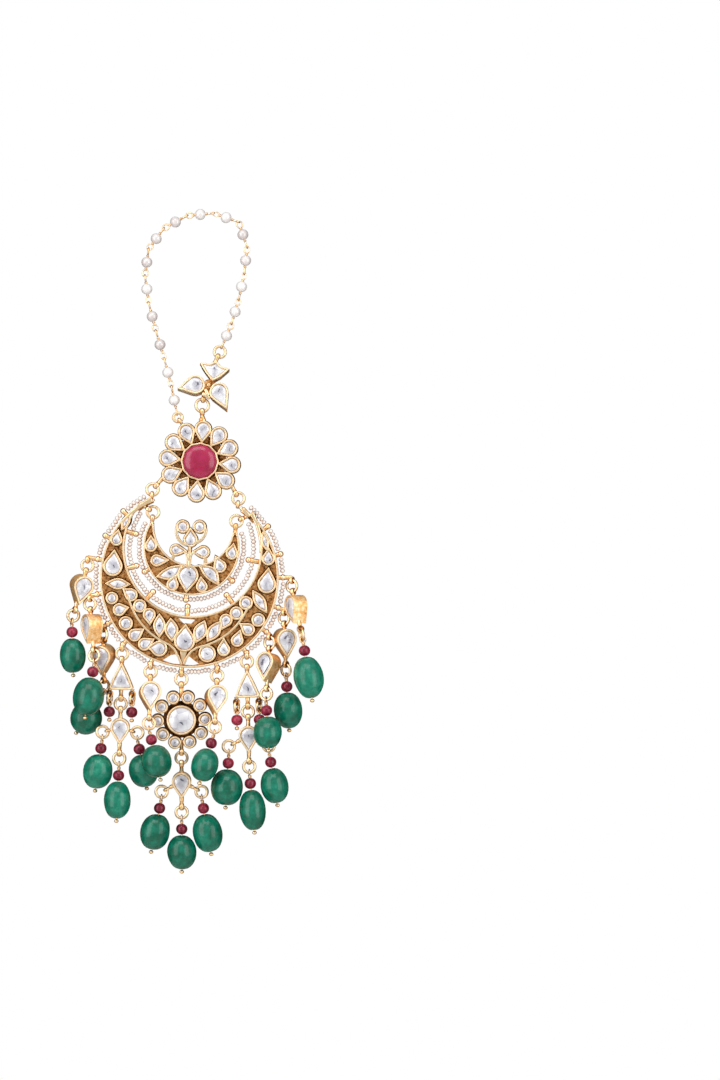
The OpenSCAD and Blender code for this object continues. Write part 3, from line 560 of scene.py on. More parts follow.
def add_bail(bm, at, ring, away=None, length=0.0, band=1.9, size=0.70):
    """A strip loop round a ring's wire at a point, with a stalk that leads away from it"""
    centre, axis, radius = ring
    strip = 0.27
    add_ring(bm, at, (at - centre).cross(axis), size, strip, band=band, steps=24)
    if length:
        away = away.normalized() * 0.001
        add_rod(bm, at + away * (size + 0.14), at + away * length, 0.45, 0.56, soft=0.08)


def add_bail_at(bm, ring, degrees, length, band=1.9):
    """A strip loop at an angle of a ring, its stalk straight away from the ring's middle"""
    at = on_ring(ring, degrees)
    add_bail(bm, at, ring, at - ring[0], length, band)


def dress(name, bm, material, body, slot, *nodes, crease=38):
    """Makes a piece of a mesh, hangs it on its body, and hides the nodes of the frame that it stands for"""
    bmesh.ops.recalc_face_normals(bm, faces=bm.faces)
    for face in bm.faces:
        face.smooth = True
    piece = make_object(name, bm, material)
    piece.data.set_sharp_from_angle(angle=math.radians(crease))
    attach(piece, body)
    if nodes:
        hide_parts(*nodes)


crest_rings = sorted(rings_of("crest_rings"), key=lambda ring: ring[0].z)
chain_end_ring, crest_low_ring, crest_top_ring = crest_rings
hinge_rings = [rings_of(node)[0] for node in ("hinge_ring_left", "hinge_ring_right")]
for ring, degrees, length, band in ((crest_low_ring, -90, 1.2, 2.1), (chain_end_ring, -58, 1.4, 1.4),
                                    (hinge_rings[0], 48, 2.5, 2.1), (hinge_rings[1], 118, 2.2, 2.1)):
    add_bail_at(stud_gold, ring, degrees, length, band)
post_radius = 0.45
add_rod(stud_gold, (0, -0.0003, 0), (0, 0.010, 0), post_radius, soft=0.2)
dress("flower_gold", stud_gold, wall_gold, "stud", "gold", "flower_setting")


# Foiled stones. Old flat-cut crystal laid over silver foil in a warm setting: low
# domes, pale grey-white, with painted reflections: a grey cloud of the foil and one dark flash from the cut
# below.
def foiled(name):
    """Pale crystal over foil; the gem attribute gives each stone its own pattern"""
    crystal, tree = new_finish(name)

    def add_shift(operation, *terms):
        return add_node(tree, "VectorMath", "Vector", dict(enumerate(terms)), operation=operation)
    gem = add_node(tree, "Attribute", "Vector", {}, attribute_name="gem")
    # A slow wander, other in each stone, bends all that lies under its face
    wander = add_node(tree, "TexNoise", "Color", {"Vector": gem, "Scale": 0.9, "Detail": 3})
    bent = add_shift("MULTIPLY_ADD", wander, (2.0, 2.0, 0), (-1.0, -0.9, 0))
    under = add_shift("MULTIPLY_ADD", gem, (1, 1, 0), bent)
    # The streak is a painted reflection, a dark flash of the cut below, and the cloud a painted grey
    # reflection of the foil
    fades = []
    for size in ((7.5, 2.2, 1), (1.1, 0.9, 1)):
        spot = add_node(tree, "Mapping", "Vector", {"Vector": under, "Scale": size})
        fades.append(add_node(tree, "TexGradient", "Fac", {"Vector": spot}, gradient_type="SPHERICAL"))
    streak, cloud = fades
    # Each cell is one of the cut's faces, painted lighter or darker as a reflection of the foil
    cells = add_node(tree, "TexVoronoi", "Color", {"Vector": gem, "Scale": 1.3})
    facet = add_node(tree, "SeparateColor", "Red", {"Color": cells})
    mist = add_math(tree, "MULTIPLY_ADD", facet, 0.55, cloud)
    tint = add_tint(tree, mist, (0.0, (0.90, 0.90, 0.91)), (0.95, (0.50, 0.49, 0.54)),
                    (0.4, (0.74, 0.74, 0.78)))
    flash = add_tint(tree, streak, (0.25, (1, 1, 1)), (0.55, (0.20, 0.20, 0.25)))
    # Thin grey lines where two of the cut's faces meet
    seams = add_node(tree, "TexVoronoi", "Distance", {"Vector": gem, "Scale": 1.3},
                     feature="DISTANCE_TO_EDGE")
    seam = add_tint(tree, seams, (0.0, (0.80, 0.79, 0.82)), (0.045, (1, 1, 1)))
    for over in (flash, seam):
        tint = add_node(tree, "Mix", "Result", {"Factor": 1.0, "A": tint, "B": over},
                        data_type="RGBA", blend_type="MULTIPLY")
    lean = add_shift("MULTIPLY_ADD", cells, (0.26, 0.26, 0.26), (-0.13, -0.13, -0.13))
    facing = add_node(tree, "NewGeometry", "Normal", {})
    tilted = add_shift("NORMALIZE", add_shift("ADD", facing, lean))
    set_looks(tree, {"Metallic": 0.1, "Roughness": 0.10, "Coat Weight": 0.6, "Coat Roughness": 0.04,
                     "Base Color": tint, "Normal": tilted})
    return crystal


clear_stone = foiled("clear_stone")


def inner_radius(line):
    """About the radius of the largest circle in a closed line"""
    area = edge = 0
    for i, point in enumerate(line):
        last = line[i - 1]
        area += (last.x * point.y - point.x * last.y) / 2
        edge += (point - last).length
    return 2 * area / edge


def add_stone(bm, stone, number):
    """A stone's skirt in its cup, and its low dome, a little uneven"""
    part = bmesh.new()
    line = stone["line"]
    reach = inner_radius(line)
    chance = random.Random(number)
    top = part.faces.new([part.verts.new((p.x, p.y, 0)) for p in smooth_line(line, steps=2)])
    heart = sum(line, Vector((0, 0))) / len(line)
    lean = Vector((chance.uniform(-0.1, 0.1), chance.uniform(-0.1, 0.1))) * reach
    rise = stone["table"] - stone["girdle"]
    wide = 1
    for share, height in ((1, stone["girdle"]), (0.93, stone["girdle"] + 0.40 * rise),
                          (0.78, stone["girdle"] + 0.66 * rise), (0.56, stone["girdle"] + 0.86 * rise),
                          (0.28, stone["table"])):
        made = bmesh.ops.extrude_face_region(part, geom=[top])["geom"]
        top = [g for g in made if isinstance(g, bmesh.types.BMFace)][0]
        for vertex in top.verts:
            flat = heart + (vertex.co.xy - heart) * share / wide + lean * (wide - share)
            vertex.co = (flat.x, flat.y, height)
        wide = share
    gem = part.verts.layers.float_vector.new("gem")
    for vertex in part.verts:
        vertex[gem] = Vector((vertex.co.x / reach, vertex.co.y / reach, 1.37 * number))
    put(bm, part, stone["place"])


def dress_stones(name, node, body, first):
    """All the stones of one node as one piece"""
    bm = bmesh.new()
    for number, stone in enumerate(stones_of(node)):
        add_stone(bm, stone, first + number)
    dress(name, bm, clear_stone, body, "clear_stone", node, crease=50)


dress_stones("flower_petal_stones", "flower_stones", "stud", 0)


# Ruby. A single opaque cabochon of deep raspberry red, a little uneven from hand
# polishing, held in the middle cup.
ruby_red, ruby_tree = new_finish("ruby_red")
ruby_clouds = add_node(ruby_tree, "TexNoise", "Fac", {"Vector": in_mm(ruby_tree), "Scale": 0.35, "Detail": 4})
ruby_tint = add_tint(ruby_tree, ruby_clouds, (0.3, (0.30, 0.000, 0.040)), (0.75, (0.44, 0.012, 0.085)))
set_looks(ruby_tree, {"Roughness": 0.22, "IOR": 1.5, "Coat Weight": 0.35, "Coat Roughness": 0.03,
                      "Subsurface Weight": 0.12, "Subsurface Scale": 0.001, "Base Color": ruby_tint})
ruby_top = -ruby_low.y * 1000
ruby_foot = -ruby_high.y * 1000
ruby_mesh = bmesh.new()
dome_steps = 14
dome_rise = 1.5
profile = [ruby_mesh.verts.new((0, 0, ruby_foot)), ruby_mesh.verts.new((ruby_radius, 0, ruby_foot))]
for k in range(dome_steps + 1):
    slope = math.pi / 2 * k / dome_steps
    profile.append(ruby_mesh.verts.new((ruby_radius * math.cos(slope) ** 0.9, 0,
                                        ruby_top - dome_rise + dome_rise * math.sin(slope))))
for first, second in zip(profile, profile[1:]):
    ruby_mesh.edges.new((first, second))
turn_round(ruby_mesh, 72)
bmesh.ops.remove_doubles(ruby_mesh, verts=ruby_mesh.verts, dist=1e-4)
hand_worn(ruby_mesh, 0.05, 4)
ruby_mesh.transform(face_on)
dress("ruby_cabochon", ruby_mesh, ruby_red, "stud", "ruby", "ruby", crease=50)


# Crest. A kite and two pears in one setting over the stud, tilted back a little,
# with a gold bead where they meet, hung from the ear chain and holding the stud.
crest_cups = stones_of("crest_stones")
crest_gold = bmesh.new()
add_plate(crest_gold, "crest_setting", crest_cups[0]["place"], back_depth=1.45, thickness=1.4, least=0.35)
for number, stone in enumerate(crest_cups):
    add_cup(crest_gold, stone, 40 + number, low=-1.0, least=1.0, flare=0)
add_ball(crest_gold, (0.00225, -0.0032, 0.0191), 0.62, (1, 0.7, 1))
bridge_looks = {"lift_here": 1.1, "soft": 0.2}
add_rod(crest_gold, (0.0006, -0.0026, 0.0170), (0.0026, -0.0026, 0.0158), 0.55, 0.5, **bridge_looks)
add_rod(crest_gold, (0.0014, -0.0028, 0.0181), (0.0022, -0.0028, 0.0163), 0.5, 0.5, **bridge_looks)
for ring, degrees, length in ((crest_top_ring, -115, 1.7), (crest_low_ring, 80, 2.7)):
    add_bail_at(crest_gold, ring, degrees, length)
dress("crest_gold", crest_gold, wall_gold, "stud", "gold", "crest_setting")
dress_stones("crest_cut_stones", "crest_stones", "stud", 20)


# Jump rings. Round gold wire closed by hand: three at the crest, and the two that
# carry the large crescent under the flower.
def dress_rings(name, body, *ring_nodes):
    """The rings of some nodes as one piece"""
    bm = bmesh.new()
    for node in ring_nodes:
        for centre, axis, radius in rings_of(node):
            add_ring(bm, centre, axis, radius, 0.36, steps=40)
    dress(name, bm, wall_gold, body, "gold", *ring_nodes)


dress_rings("crest_jump_rings", "stud", "crest_rings")
dress_rings("left_hinge_ring", "stud", "hinge_ring_left")
dress_rings("right_hinge_ring", "stud", "hinge_ring_right")


# Ear chain. Cream-white round pearls, each on a wire pin that ends in a turned eye
# either side, with a few turns of the wire wound against the pearl.
def pearl(name, shade, body, light, gloss=0.7, roughness=0.22):
    """Pearl shell in three tones, varied from bead to bead by the tone attribute"""
    shell, tree = new_finish(name)
    tone = add_node(tree, "Attribute", "Fac", {}, attribute_name="tone")
    bands = add_node(tree, "TexNoise", "Fac", {"Vector": in_mm(tree), "Scale": 1.1, "Detail": 4})
    share = add_math(tree, "MULTIPLY_ADD", bands, 0.5, tone)
    tint = add_tint(tree, share, (0.2, shade), (1.0, light), (0.6, body))
    set_looks(tree, {"Roughness": roughness, "IOR": 1.9, "Coat Weight": gloss, "Coat Roughness": 0.06,
                     "Base Color": tint})
    return shell


pearl_shell = pearl("pearl_shell", (0.42, 0.35, 0.34), (0.62, 0.55, 0.54), (0.86, 0.82, 0.80))


def add_pearl(bm, centre, along, radius, squash, tone, segments, chance):
    """A round bead with its drilled ends pulled in a little"""
    part = bmesh.new()
    bmesh.ops.create_uvsphere(part, u_segments=segments, v_segments=segments * 2 // 3, radius=radius)
    for vertex in part.verts:
        near_end = max(0.0, 1 - vertex.co.xy.length / (0.35 * radius))
        vertex.co.z *= squash * (1 - 0.08 * near_end)
    seed = chance.uniform(0, 50)
    for vertex in part.verts:
        vertex.co *= 1 + 0.03 * min(0, noise.noise(vertex.co / radius * 0.9 + Vector((seed, 0, seed))))
    mark(part, "tone", lambda co: tone)
    put_at(bm, part, centre, turned_to(along))


pearl_radius = 1.37
left_to_string = [middle(points) for points, faces in solids_of("chain_pearls")]
strung = []
place_now = crest_top_ring[0]
while left_to_string:
    nearest = min(left_to_string, key=lambda centre: (centre - place_now).length)
    left_to_string.remove(nearest)
    strung.append(nearest)
    place_now = nearest
chain_chance = random.Random(5)
pearls_mesh = bmesh.new()
pins_mesh = bmesh.new()
pins = solids_of("chain_links")
eye_radius = 0.85
pin_wire = 0.2
for number, centre in enumerate(strung):
    points = min((p for p, faces in pins), key=lambda p: (middle(p) - centre).length)
    along = spread_along(points, centre, 2)
    ahead = strung[number + 1] if number + 1 < len(strung) else chain_end_ring[0]
    along = along if along.dot(ahead - centre) > 0 else -along
    half = max((p - centre).dot(along) for p in points) * 1000
    eye_at = half - eye_radius - pin_wire
    tone = chain_chance.uniform(0.4, 0.8)
    add_pearl(pearls_mesh, centre, along, pearl_radius, 0.97, tone, 36, chain_chance)
    reach = (eye_at - eye_radius) * 0.001
    add_rod(pins_mesh, centre - along * reach, centre + along * reach, pin_wire)
    flat = Vector((0, 1, 0)).cross(along)
    last = number == len(strung) - 1
    for side, axis in ((-1, flat), (1, flat if last else Vector((0, 1, 0)))):
        add_ring(pins_mesh, centre + along * side * eye_at * 0.001, axis, eye_radius, pin_wire, steps=28,
                 squeeze=Matrix.Scale(chain_chance.uniform(0.6, 0.85), 4, along.cross(axis)))
        for turns in range(2):
            wound = centre + along * side * (pearl_radius * 0.001 + 0.0001 + turns * 0.00019)
            add_ring(pins_mesh, wound, along + flat * 0.15, 0.26, 0.11, steps=14)
dress("ear_chain_pearls", pearls_mesh, pearl_shell, "stud", "pearl", "chain_pearls", crease=60)
dress("ear_chain_pins", pins_mesh, wall_gold, "stud", "gold", "chain_links")


# Large crescent. A pierced plate with strip soldered on edge round both its edges
# and round each stone, two stems between the stones, and plain bars at its horns.
def crescent_frame(x, y):
    """A place in the large crescent's turned frame, on the plate's back, in mm"""
    turn = math.radians(6)
    c, s = math.cos(turn), math.sin(turn)
    middle_of_frame = ((x * c + y * s - 2.6) * 0.001, 0, (y * c - x * s - 29.2) * 0.001)
    turned = Matrix(((c, s, 0, 0), (0, 0, -1, 0), (-s, c, 0, 0), (0, 0, 0, 1)))
    return Matrix.Translation(middle_of_frame) @ turned @ Matrix.Scale(0.001, 4)


def arc(x, y, radius, start, end, step=2.5):
    """Points along an arc, its angles in degrees"""
    count = max(2, round(abs(end - start) / step))
    angles = [math.radians(start + (end - start) * k / count) for k in range(count + 1)]
    return [Vector((x + radius * math.cos(a), y + radius * math.sin(a))) for a in angles]


def add_strip(bm, place, path, half, low, top, soft, seed=0, worn=0.04, least=0.0, end_half=None):
    """A strip stood on its edge along an open path, tapered to end_half"""
    part = bmesh.new()
    sides = []
    for i, point in enumerate(path):
        along = path[min(i + 1, len(path) - 1)] - path[max(i - 1, 0)]
        wide = half + ((end_half or half) - half) * i / (len(path) - 1)
        side = Vector((-along.y, along.x)).normalized() * wide
        sides.append([part.verts.new((p.x, p.y, low)) for p in (point - side, point + side)])
    faces = [part.faces.new((a[0], b[0], b[1], a[1])) for a, b in zip(sides, sides[1:])]
    part.normal_update()
    raise_round(part, faces, top - low, soft, low, least)
    hand_worn(part, worn, seed)
    put(bm, part, place)


def add_post(bm, place, x, y, angle, low, high):
    """A barrel that carries a pearl string, with a knob at its end"""
    way = Vector((math.cos(math.radians(angle)), math.sin(math.radians(angle)), 0))
    foot, tip = (Vector((x, y, 1.5)) + way * reach for reach in (low, high))
    add_rod(bm, place @ foot, place @ tip, 0.58, 0.62, soft=0.15)
    add_ball(bm, place @ (tip - way * 0.5), 0.76, lift_here=0.95)


edge_strip = 0.24
wall_top = 3.0
rim_radius = 22.3
bay_up, bay_radius = 7.6, 17.0
crescent_place = crescent_frame(0, 0)
outer_gold = bmesh.new()
add_plate(outer_gold, "outer_crescent", crescent_place, 0.0, plate_thick, least=0.43)
add_strip(outer_gold, crescent_place, arc(0, 0, rim_radius - edge_strip, 128.3, 411.7), edge_strip, 0.2,
          wall_top, 0.14, seed=50, least=0.55)
add_strip(outer_gold, crescent_place, arc(0, bay_up, bay_radius + edge_strip, 144.6, 395.4), edge_strip, 0.2,
          wall_top, 0.14, seed=51, least=0.55)
left_foot = [Vector(point) for point in ((-1.8, -18.0), (-0.65, -19.8), (0.35, -21.6))]
right_foot = [Vector(point) for point in ((0.85, -21.5), (1.4, -19.7), (2.4, -18.0))]
left_stem = arc(1.5, -0.5, 17.1, 196, 254) + left_foot
right_stem = right_foot + arc(-1, -0.5, 17.1, 286, 344)
for path in (left_stem, right_stem):
    add_strip(outer_gold, crescent_place, path, 0.27, 0.9, wall_top, 0.13, seed=52, least=0.3)
add_strip(outer_gold, crescent_place, [Vector((0.45, -17.9)), Vector((0.55, -21.5))], 1.0, 0.5, 2.0, 0.2,
          least=0.4, end_half=0.2)
# The horns: a strap down the left rim, a broad band down the right bay, and its joint
for path, half, end_half in ((arc(0, 0, rim_radius - 0.45, 121, 146), 0.68, 0.3),
                             (arc(0, bay_up, bay_radius + 0.15, 37, 2), 0.55, 0.36),
                             (arc(0, 0, rim_radius - 0.6, 58.6, 51.5), 0.72, 0.4)):
    add_strip(outer_gold, crescent_place, path, half, 0.05, wall_top + 0.05, 0.3, seed=53, worn=0.08,
              least=0.1, end_half=end_half)
for number, stone in enumerate(stones_of("outer_stones")):
    spot = crescent_place.inverted() @ stone["place"].translation
    add_cup(outer_gold, stone, 60 + number, flare=0.5 if abs(spot.x) > 2 else 0.15)
for angle in (140.5, 159, 381, 399.5):
    add_post(outer_gold, crescent_place, 0, 0, angle, rim_radius - 0.3, rim_radius + 1.75)
bay_string_at = (-0.2, 7.4)
bay_string_radius = 15.5
for angle in (171, 203, 234, 272, 313, 355):
    add_post(outer_gold, crescent_place, *bay_string_at, angle, bay_string_radius + 1.9,
             bay_string_radius - 0.55)
for ring, x, y, length in ((hinge_rings[0], 0.3, -1, 1.5), (hinge_rings[1], 1.4, -1.3, 2.1)):
    away = crescent_place.to_3x3() @ Vector((x, y, 0))
    add_bail(outer_gold, on_ring(ring, -96), ring, away, length, band=1.6, size=0.82)
small_rings = sorted(rings_of("small_rings"), key=lambda ring: ring[0].x)
for ring, degrees, length in ((small_rings[0], 144, 1.5), (small_rings[1], 24, 1.7)):
    add_bail_at(outer_gold, ring, degrees, length)
# Each ring of the fringe hangs in a loop whose stalk runs in to the rim
string_radius = 23.35
crescent_middle = crescent_place @ Vector((0, 0, 1.5))
fringe_rings = sorted(rings_of("fringe_top_rings"), key=lambda ring: ring[0].x)
for ring in fringe_rings:
    at = on_ring(ring, 90)
    way = (at + Vector((0, 0, 0.0007)) - crescent_middle)
    way.y = 0
    way.normalize()
    add_bail(outer_gold, at, ring)
    add_rod(outer_gold, at + Vector((0, 0, 0.0006)), crescent_middle + way * 0.0219, 0.52, 0.58)
    add_ball(outer_gold, crescent_middle + way * string_radius * 0.001, 0.76, lift_here=0.95)
dress("large_crescent_gold", outer_gold, wall_gold, "main_drop", "gold", "outer_crescent")
dress_stones("large_crescent_stones", "outer_stones", "main_drop", 40)


# Seed pearls. Rows of tiny round pearls with a pink cast, strung on thin gold wire
# through the posts, along the rim, the bay and the small crescent.
seed_shell = pearl("seed_shell", (0.42, 0.27, 0.21), (0.83, 0.72, 0.65), (0.97, 0.93, 0.88), gloss=0.3,
                   roughness=0.35)
seed_radius = 0.66


def add_seed(seeds, place, spot, angle, chance):
    """One seed pearl, a little other in size and tone than the next, and painted darker at its sides as shade
    """
    part = bmesh.new()
    bmesh.ops.create_uvsphere(part, u_segments=10, v_segments=6, radius=seed_radius * chance.uniform(0.92, 1))
    bmesh.ops.scale(part, verts=part.verts, vec=(1, 1, 0.74))
    tone = chance.uniform(0.0, 0.2)
    turn = turned_to(place.to_3x3() @ Vector((-math.sin(angle), math.cos(angle), 0)))

    # Painted shade: the sides, away from front and back, are darker than the face
    def tone_at(co):
        face_on_share = abs((turn @ co).y) / seed_radius
        return tone - 0.15 + 0.6 * min(1, face_on_share / 0.85)**1.6
    mark(part, "tone", tone_at)
    put_at(seeds, part, place @ spot, turn)


def add_string(seeds, wire, node, place, x, y, radius, number):
    """Seed pearls along each stretch of a node's string, and the wire that they are on"""
    chance = random.Random(number)
    inward = place.inverted()
    spans = []
    for points, faces in solids_of(node):
        flat = [inward @ p for p in points]
        angles = [math.degrees(math.atan2(p.y - y, p.x - x)) % 360 for p in flat]
        if max(angles) - min(angles) > 180:
            angles = [a + 360 if a < 180 else a for a in angles]
        once_round = 0 if min(angles) > 90 else 360
        spans.append((min(angles) + once_round, max(angles) + once_round))
    for start, end in spans:
        count = max(1, round(math.radians(end - start) * radius / 0.9))
        for k in range(count):
            angle = math.radians(start + (end - start) * (k + 0.5) / count)
            reach = radius + chance.uniform(-0.12, 0.12)
            spot = Vector((x + reach * math.cos(angle), y + reach * math.sin(angle),
                           1.5 + chance.uniform(-0.08, 0.08)))
            add_seed(seeds, place, spot, angle, chance)
    first, last = min(s for s, e in spans), max(e for s, e in spans)
    part = bmesh.new()
    add_section(part, 6, 0.1, radius)
    bmesh.ops.spin(part, geom=part.verts[:] + part.edges[:], cent=(0, 0, 0), axis=(0, 0, 1), dvec=(0, 0, 0),
                   angle=math.radians(last - first), steps=round((last - first) / 3))
    bmesh.ops.holes_fill(part, edges=[e for e in part.edges if e.is_boundary], sides=6)
    bmesh.ops.rotate(part, verts=part.verts, cent=(0, 0, 0),
                     matrix=Matrix.Rotation(math.radians(first), 3, "Z"))
    mark(part, "lift", lambda co: 0.7)
    bmesh.ops.translate(part, verts=part.verts, vec=(x, y, 1.5))
    put(wire, part, place)


main_seeds = bmesh.new()
main_wire = bmesh.new()
add_string(main_seeds, main_wire, "rim_pearl_string", crescent_place, 0, 0, string_radius, 1)
add_string(main_seeds, main_wire, "bay_pearl_string", crescent_place, *bay_string_at, bay_string_radius, 2)
dress("rim_and_bay_pearls", main_seeds, seed_shell, "main_drop", "pearl", "rim_pearl_string",
      "bay_pearl_string", crease=80)
dress("rim_and_bay_wire", main_wire, wall_gold, "main_drop", "gold")


# Small crescent. Made as the large one is, with a sprig of five stones on a stem
# between its horns, and hung in the bay by a ring at each horn.
small_radius = 12.0
small_bay_up, small_bay_radius = 5.4, 9.9
small_place = crescent_frame(-0.3, 7.8)
small_gold = bmesh.new()
add_plate(small_gold, "small_crescent", small_place, 0.0, plate_thick, least=0.43)
small_edge = 0.21
small_bay = arc(0, small_bay_up, small_bay_radius + small_edge, 183.5, 356.5)
for path, seed in ((arc(0, 0, small_radius - small_edge, 155.4, 384.6), 54), (small_bay, 55)):
    add_strip(small_gold, small_place, path, small_edge, 0.2, wall_top, 0.13, seed=seed, least=0.55)
for x, y, radius, start, end in ((-0.6, 3.9, 3.6, 172, 258), (-0.4, 4.4, 3.5, 282, 370)):
    add_strip(small_gold, small_place, arc(x, y, radius, start, end), 0.36, 0.05, wall_top, 0.16, seed=56,
              least=0.55)
for line in (((-0.25, -5.4), (-0.55, -4.2), (-0.6, -3.0), (-0.95, -1.9), (-1.6, -1.2)),
             ((-0.1, -5.4), (-0.05, -4.2), (-0.1, -3.0), (0.05, -1.9), (0.6, -1.2)),
             ((-0.33, -3.6), (-0.33, -2.0), (-0.35, 0.4))):
    path = [Vector(point) for point in line]
    add_strip(small_gold, small_place, path, 0.3, 0.05, wall_top, 0.16, seed=57, least=0.5)
for foot, head in (((-4.5, -3.5), (-4.2, -2.3)), ((3.9, -3.6), (3.6, -2.2))):
    path = [Vector(foot), Vector(head)]
    add_strip(small_gold, small_place, path, 0.42, 0.05, wall_top - 0.3, 0.15, least=0.55)
for number, stone in enumerate(stones_of("small_stones")):
    spot = small_place.inverted() @ stone["place"].translation
    in_sprig = (spot.xy - Vector((0, small_bay_up))).length < small_bay_radius
    add_cup(small_gold, stone, 100 + number, flare=0.2 if in_sprig else 0.3)
for angle in (213.5, 270, 326.5):
    add_post(small_gold, small_place, 0, 0, angle, small_radius - 0.4, small_radius + 1.7)
for ring in small_rings:
    away = small_place.to_3x3() @ Vector((0, -1, 0))
    add_bail(small_gold, on_ring(ring, -96), ring, away, 2.1)
dress("small_crescent_gold", small_gold, wall_gold, "small_drop", "gold", "small_crescent")
dress_stones("small_crescent_stones", "small_stones", "small_drop", 80)
small_seeds = bmesh.new()
small_wire = bmesh.new()
add_string(small_seeds, small_wire, "small_pearl_string", small_place, 0, 0, small_radius + 1.05, 3)
dress("small_string_pearls", small_seeds, seed_shell, "small_drop", "pearl", "small_pearl_string",
      crease=80)
dress("small_string_wire", small_wire, wall_gold, "small_drop", "gold")


# Fringe rings, of the same wire. One on each rim loop, one under each drop and pear,
# small ones at the triangles' corners, and the two that carry the small crescent.
low_fringe_rings = rings_of("fringe_low_rings")
dress_rings("fringe_jump_rings", "main_drop", "fringe_top_rings", "fringe_low_rings")
dress_rings("small_crescent_rings", "main_drop", "small_rings")
all_fringe_rings = fringe_rings + low_fringe_rings


# Fringe settings. Eight pear boxes, two triangle boxes over small pears and a flower
# over a small pear; each box is a closed strip with a satin back, hung by strip loops.
satin_gold = gold("satin_gold", rough=0.5)


def add_box(bm, stone, back_depth, seed):
    """A box round a stone: its wall, floor and back"""
    add_cup(bm, stone, seed, low=-back_depth, least=0.8, flare=0)
    part = bmesh.new()
    line = grown(smooth_line(stone["line"]), 0.3)
    face = part.faces.new([part.verts.new((p.x, p.y, -back_depth + 0.03)) for p in line])
    raise_faces(part, [face], back_depth - 0.1)
    lift_from(part, -back_depth, 0, 0.85, 0.3)
    put(bm, part, stone["place"])


def nearest_ring(point):
    """The fringe's ring whose wire passes nearest to a point"""
    return min(all_fringe_rings, key=lambda ring: abs((point - ring[0]).length * 1000 - ring[2]))


def add_eye(stone, level, at, away, length, band=2.1):
    """A strip loop round the ring that passes a setting's point, level over its stone's foot"""
    point = stone["place"] @ Vector((at.x, at.y, level))
    stalk = stone["place"].to_3x3() @ Vector((away.x, away.y, 0))
    add_bail(fringe_gold, point, nearest_ring(point), stalk, length, band)


fringe_gold = bmesh.new()
fringe_boxes = bmesh.new()
box_back, pear_back = 2.25, 1.25
box_level = 1.9 - box_back
for number, stone in enumerate(stones_of("drop_stones")):
    add_box(fringe_boxes, stone, box_back, 120 + number)
    tip = max(stone["line"], key=lambda p: p.length)
    down = tip.normalized()
    centre = tip - down * 3.95
    add_eye(stone, box_level, centre - down * 3.7, down, 1.5)
    add_eye(stone, box_level, centre + down * 6.4, -down, 2.2)
for number, stone in enumerate(stones_of("triangle_stones")):
    add_box(fringe_boxes, stone, box_back, 130 + number)
    tip = max(stone["line"], key=lambda p: p.y)
    up = tip.normalized()
    across = Vector((up.y, -up.x))
    centre = tip - up * 2.75
    add_eye(stone, box_level, centre + up * 4.2, -up, 1.4)
    add_eye(stone, box_level, centre - up * 5.4, up, 2.2)
    for side in (-2.8, 2.8):
        add_eye(stone, box_level, centre - up * 4.4 + across * side, up, 1.3, band=1.2)
pear_level = 1.4 - pear_back
pears = sorted(stones_of("pear_stones"), key=lambda stone: stone["place"].translation.x)
for number, stone in enumerate(pears):
    add_box(fringe_boxes, stone, pear_back, 140 + number)
    tip = max(stone["line"], key=lambda p: p.length)
    down = tip.normalized()
    across = Vector((-down.y, down.x))
    centre = tip - down * 3.5
    add_eye(stone, pear_level, centre - down * 4.5, down, 2.4)
    add_eye(stone, pear_level, centre + down * 6.35, -down, 2.6)
    beside, below = (5, 2.6) if number else (4.35, 1.2)
    for side in (-1, 1):
        out = across * beside * side + down * below
        way = out.normalized()
        add_eye(stone, pear_level, centre + out - way * 1.45, -way, 2.2, band=1.2)

flower_stone = stones_of("centre_flower_stone")[0]
add_plate(fringe_gold, "centre_flower_setting", flower_stone["place"], foot_over_back, plate_thick,
          least=0.12)
for number, stone in enumerate([flower_stone] + stones_of("centre_petal_stones")):
    add_cup(fringe_gold, stone, 150 + number, flare=0.2)
flower_level = 1.5 - foot_over_back
add_eye(flower_stone, flower_level, Vector((0, 8.7)), Vector((0, -1)), 3.2)
add_eye(flower_stone, flower_level, Vector((0, -8.15)), Vector((0, 1)), 3.0)
fringe_nodes = ["drop_setting_%d" % k for k in range(1, 9)] + [
    "triangle_setting_1", "triangle_setting_2", "pear_setting_1", "pear_setting_2",
    "centre_flower_setting", "centre_pear_setting"]
dress("fringe_loops", fringe_gold, wall_gold, "main_drop", "gold")
dress("fringe_boxes", fringe_boxes, satin_gold, "main_drop", "gold", *fringe_nodes)
for name, node, first in (("fringe_drop_stones", "drop_stones", 160),
                          ("fringe_triangle_stones", "triangle_stones", 170),
                          ("fringe_pear_stones", "pear_stones", 175),
                          ("middle_flower_stone", "centre_flower_stone", 180),
                          ("middle_petal_stones", "centre_petal_stones", 181)):
    dress_stones(name, node, "main_drop", first)


# Beads. Red stone rounds over larger green stone ovals, tumbled a little uneven and
# polished, both drilled and strung on head pins.
def bead_stone(name, deep, mid, pale, roughness, grain):
    """Clouded polished stone, varied from bead to bead by the tone attribute"""
    stone, tree = new_finish(name)
    clouds = add_node(tree, "TexNoise", "Fac",
                      {"Vector": in_mm(tree), "Scale": grain, "Detail": 6, "Roughness": 0.6})
    tone = add_node(tree, "Attribute", "Fac", {}, attribute_name="tone")
    tint = add_tint(tree, add_math(tree, "ADD", clouds, tone), (0.3, deep), (0.8, pale), (0.55, mid))
    set_looks(tree, {"Specular IOR Level": 0.28, "Coat Weight": 0.3, "Coat Roughness": 0.05,
                     "Roughness": roughness, "Base Color": tint})
    return stone


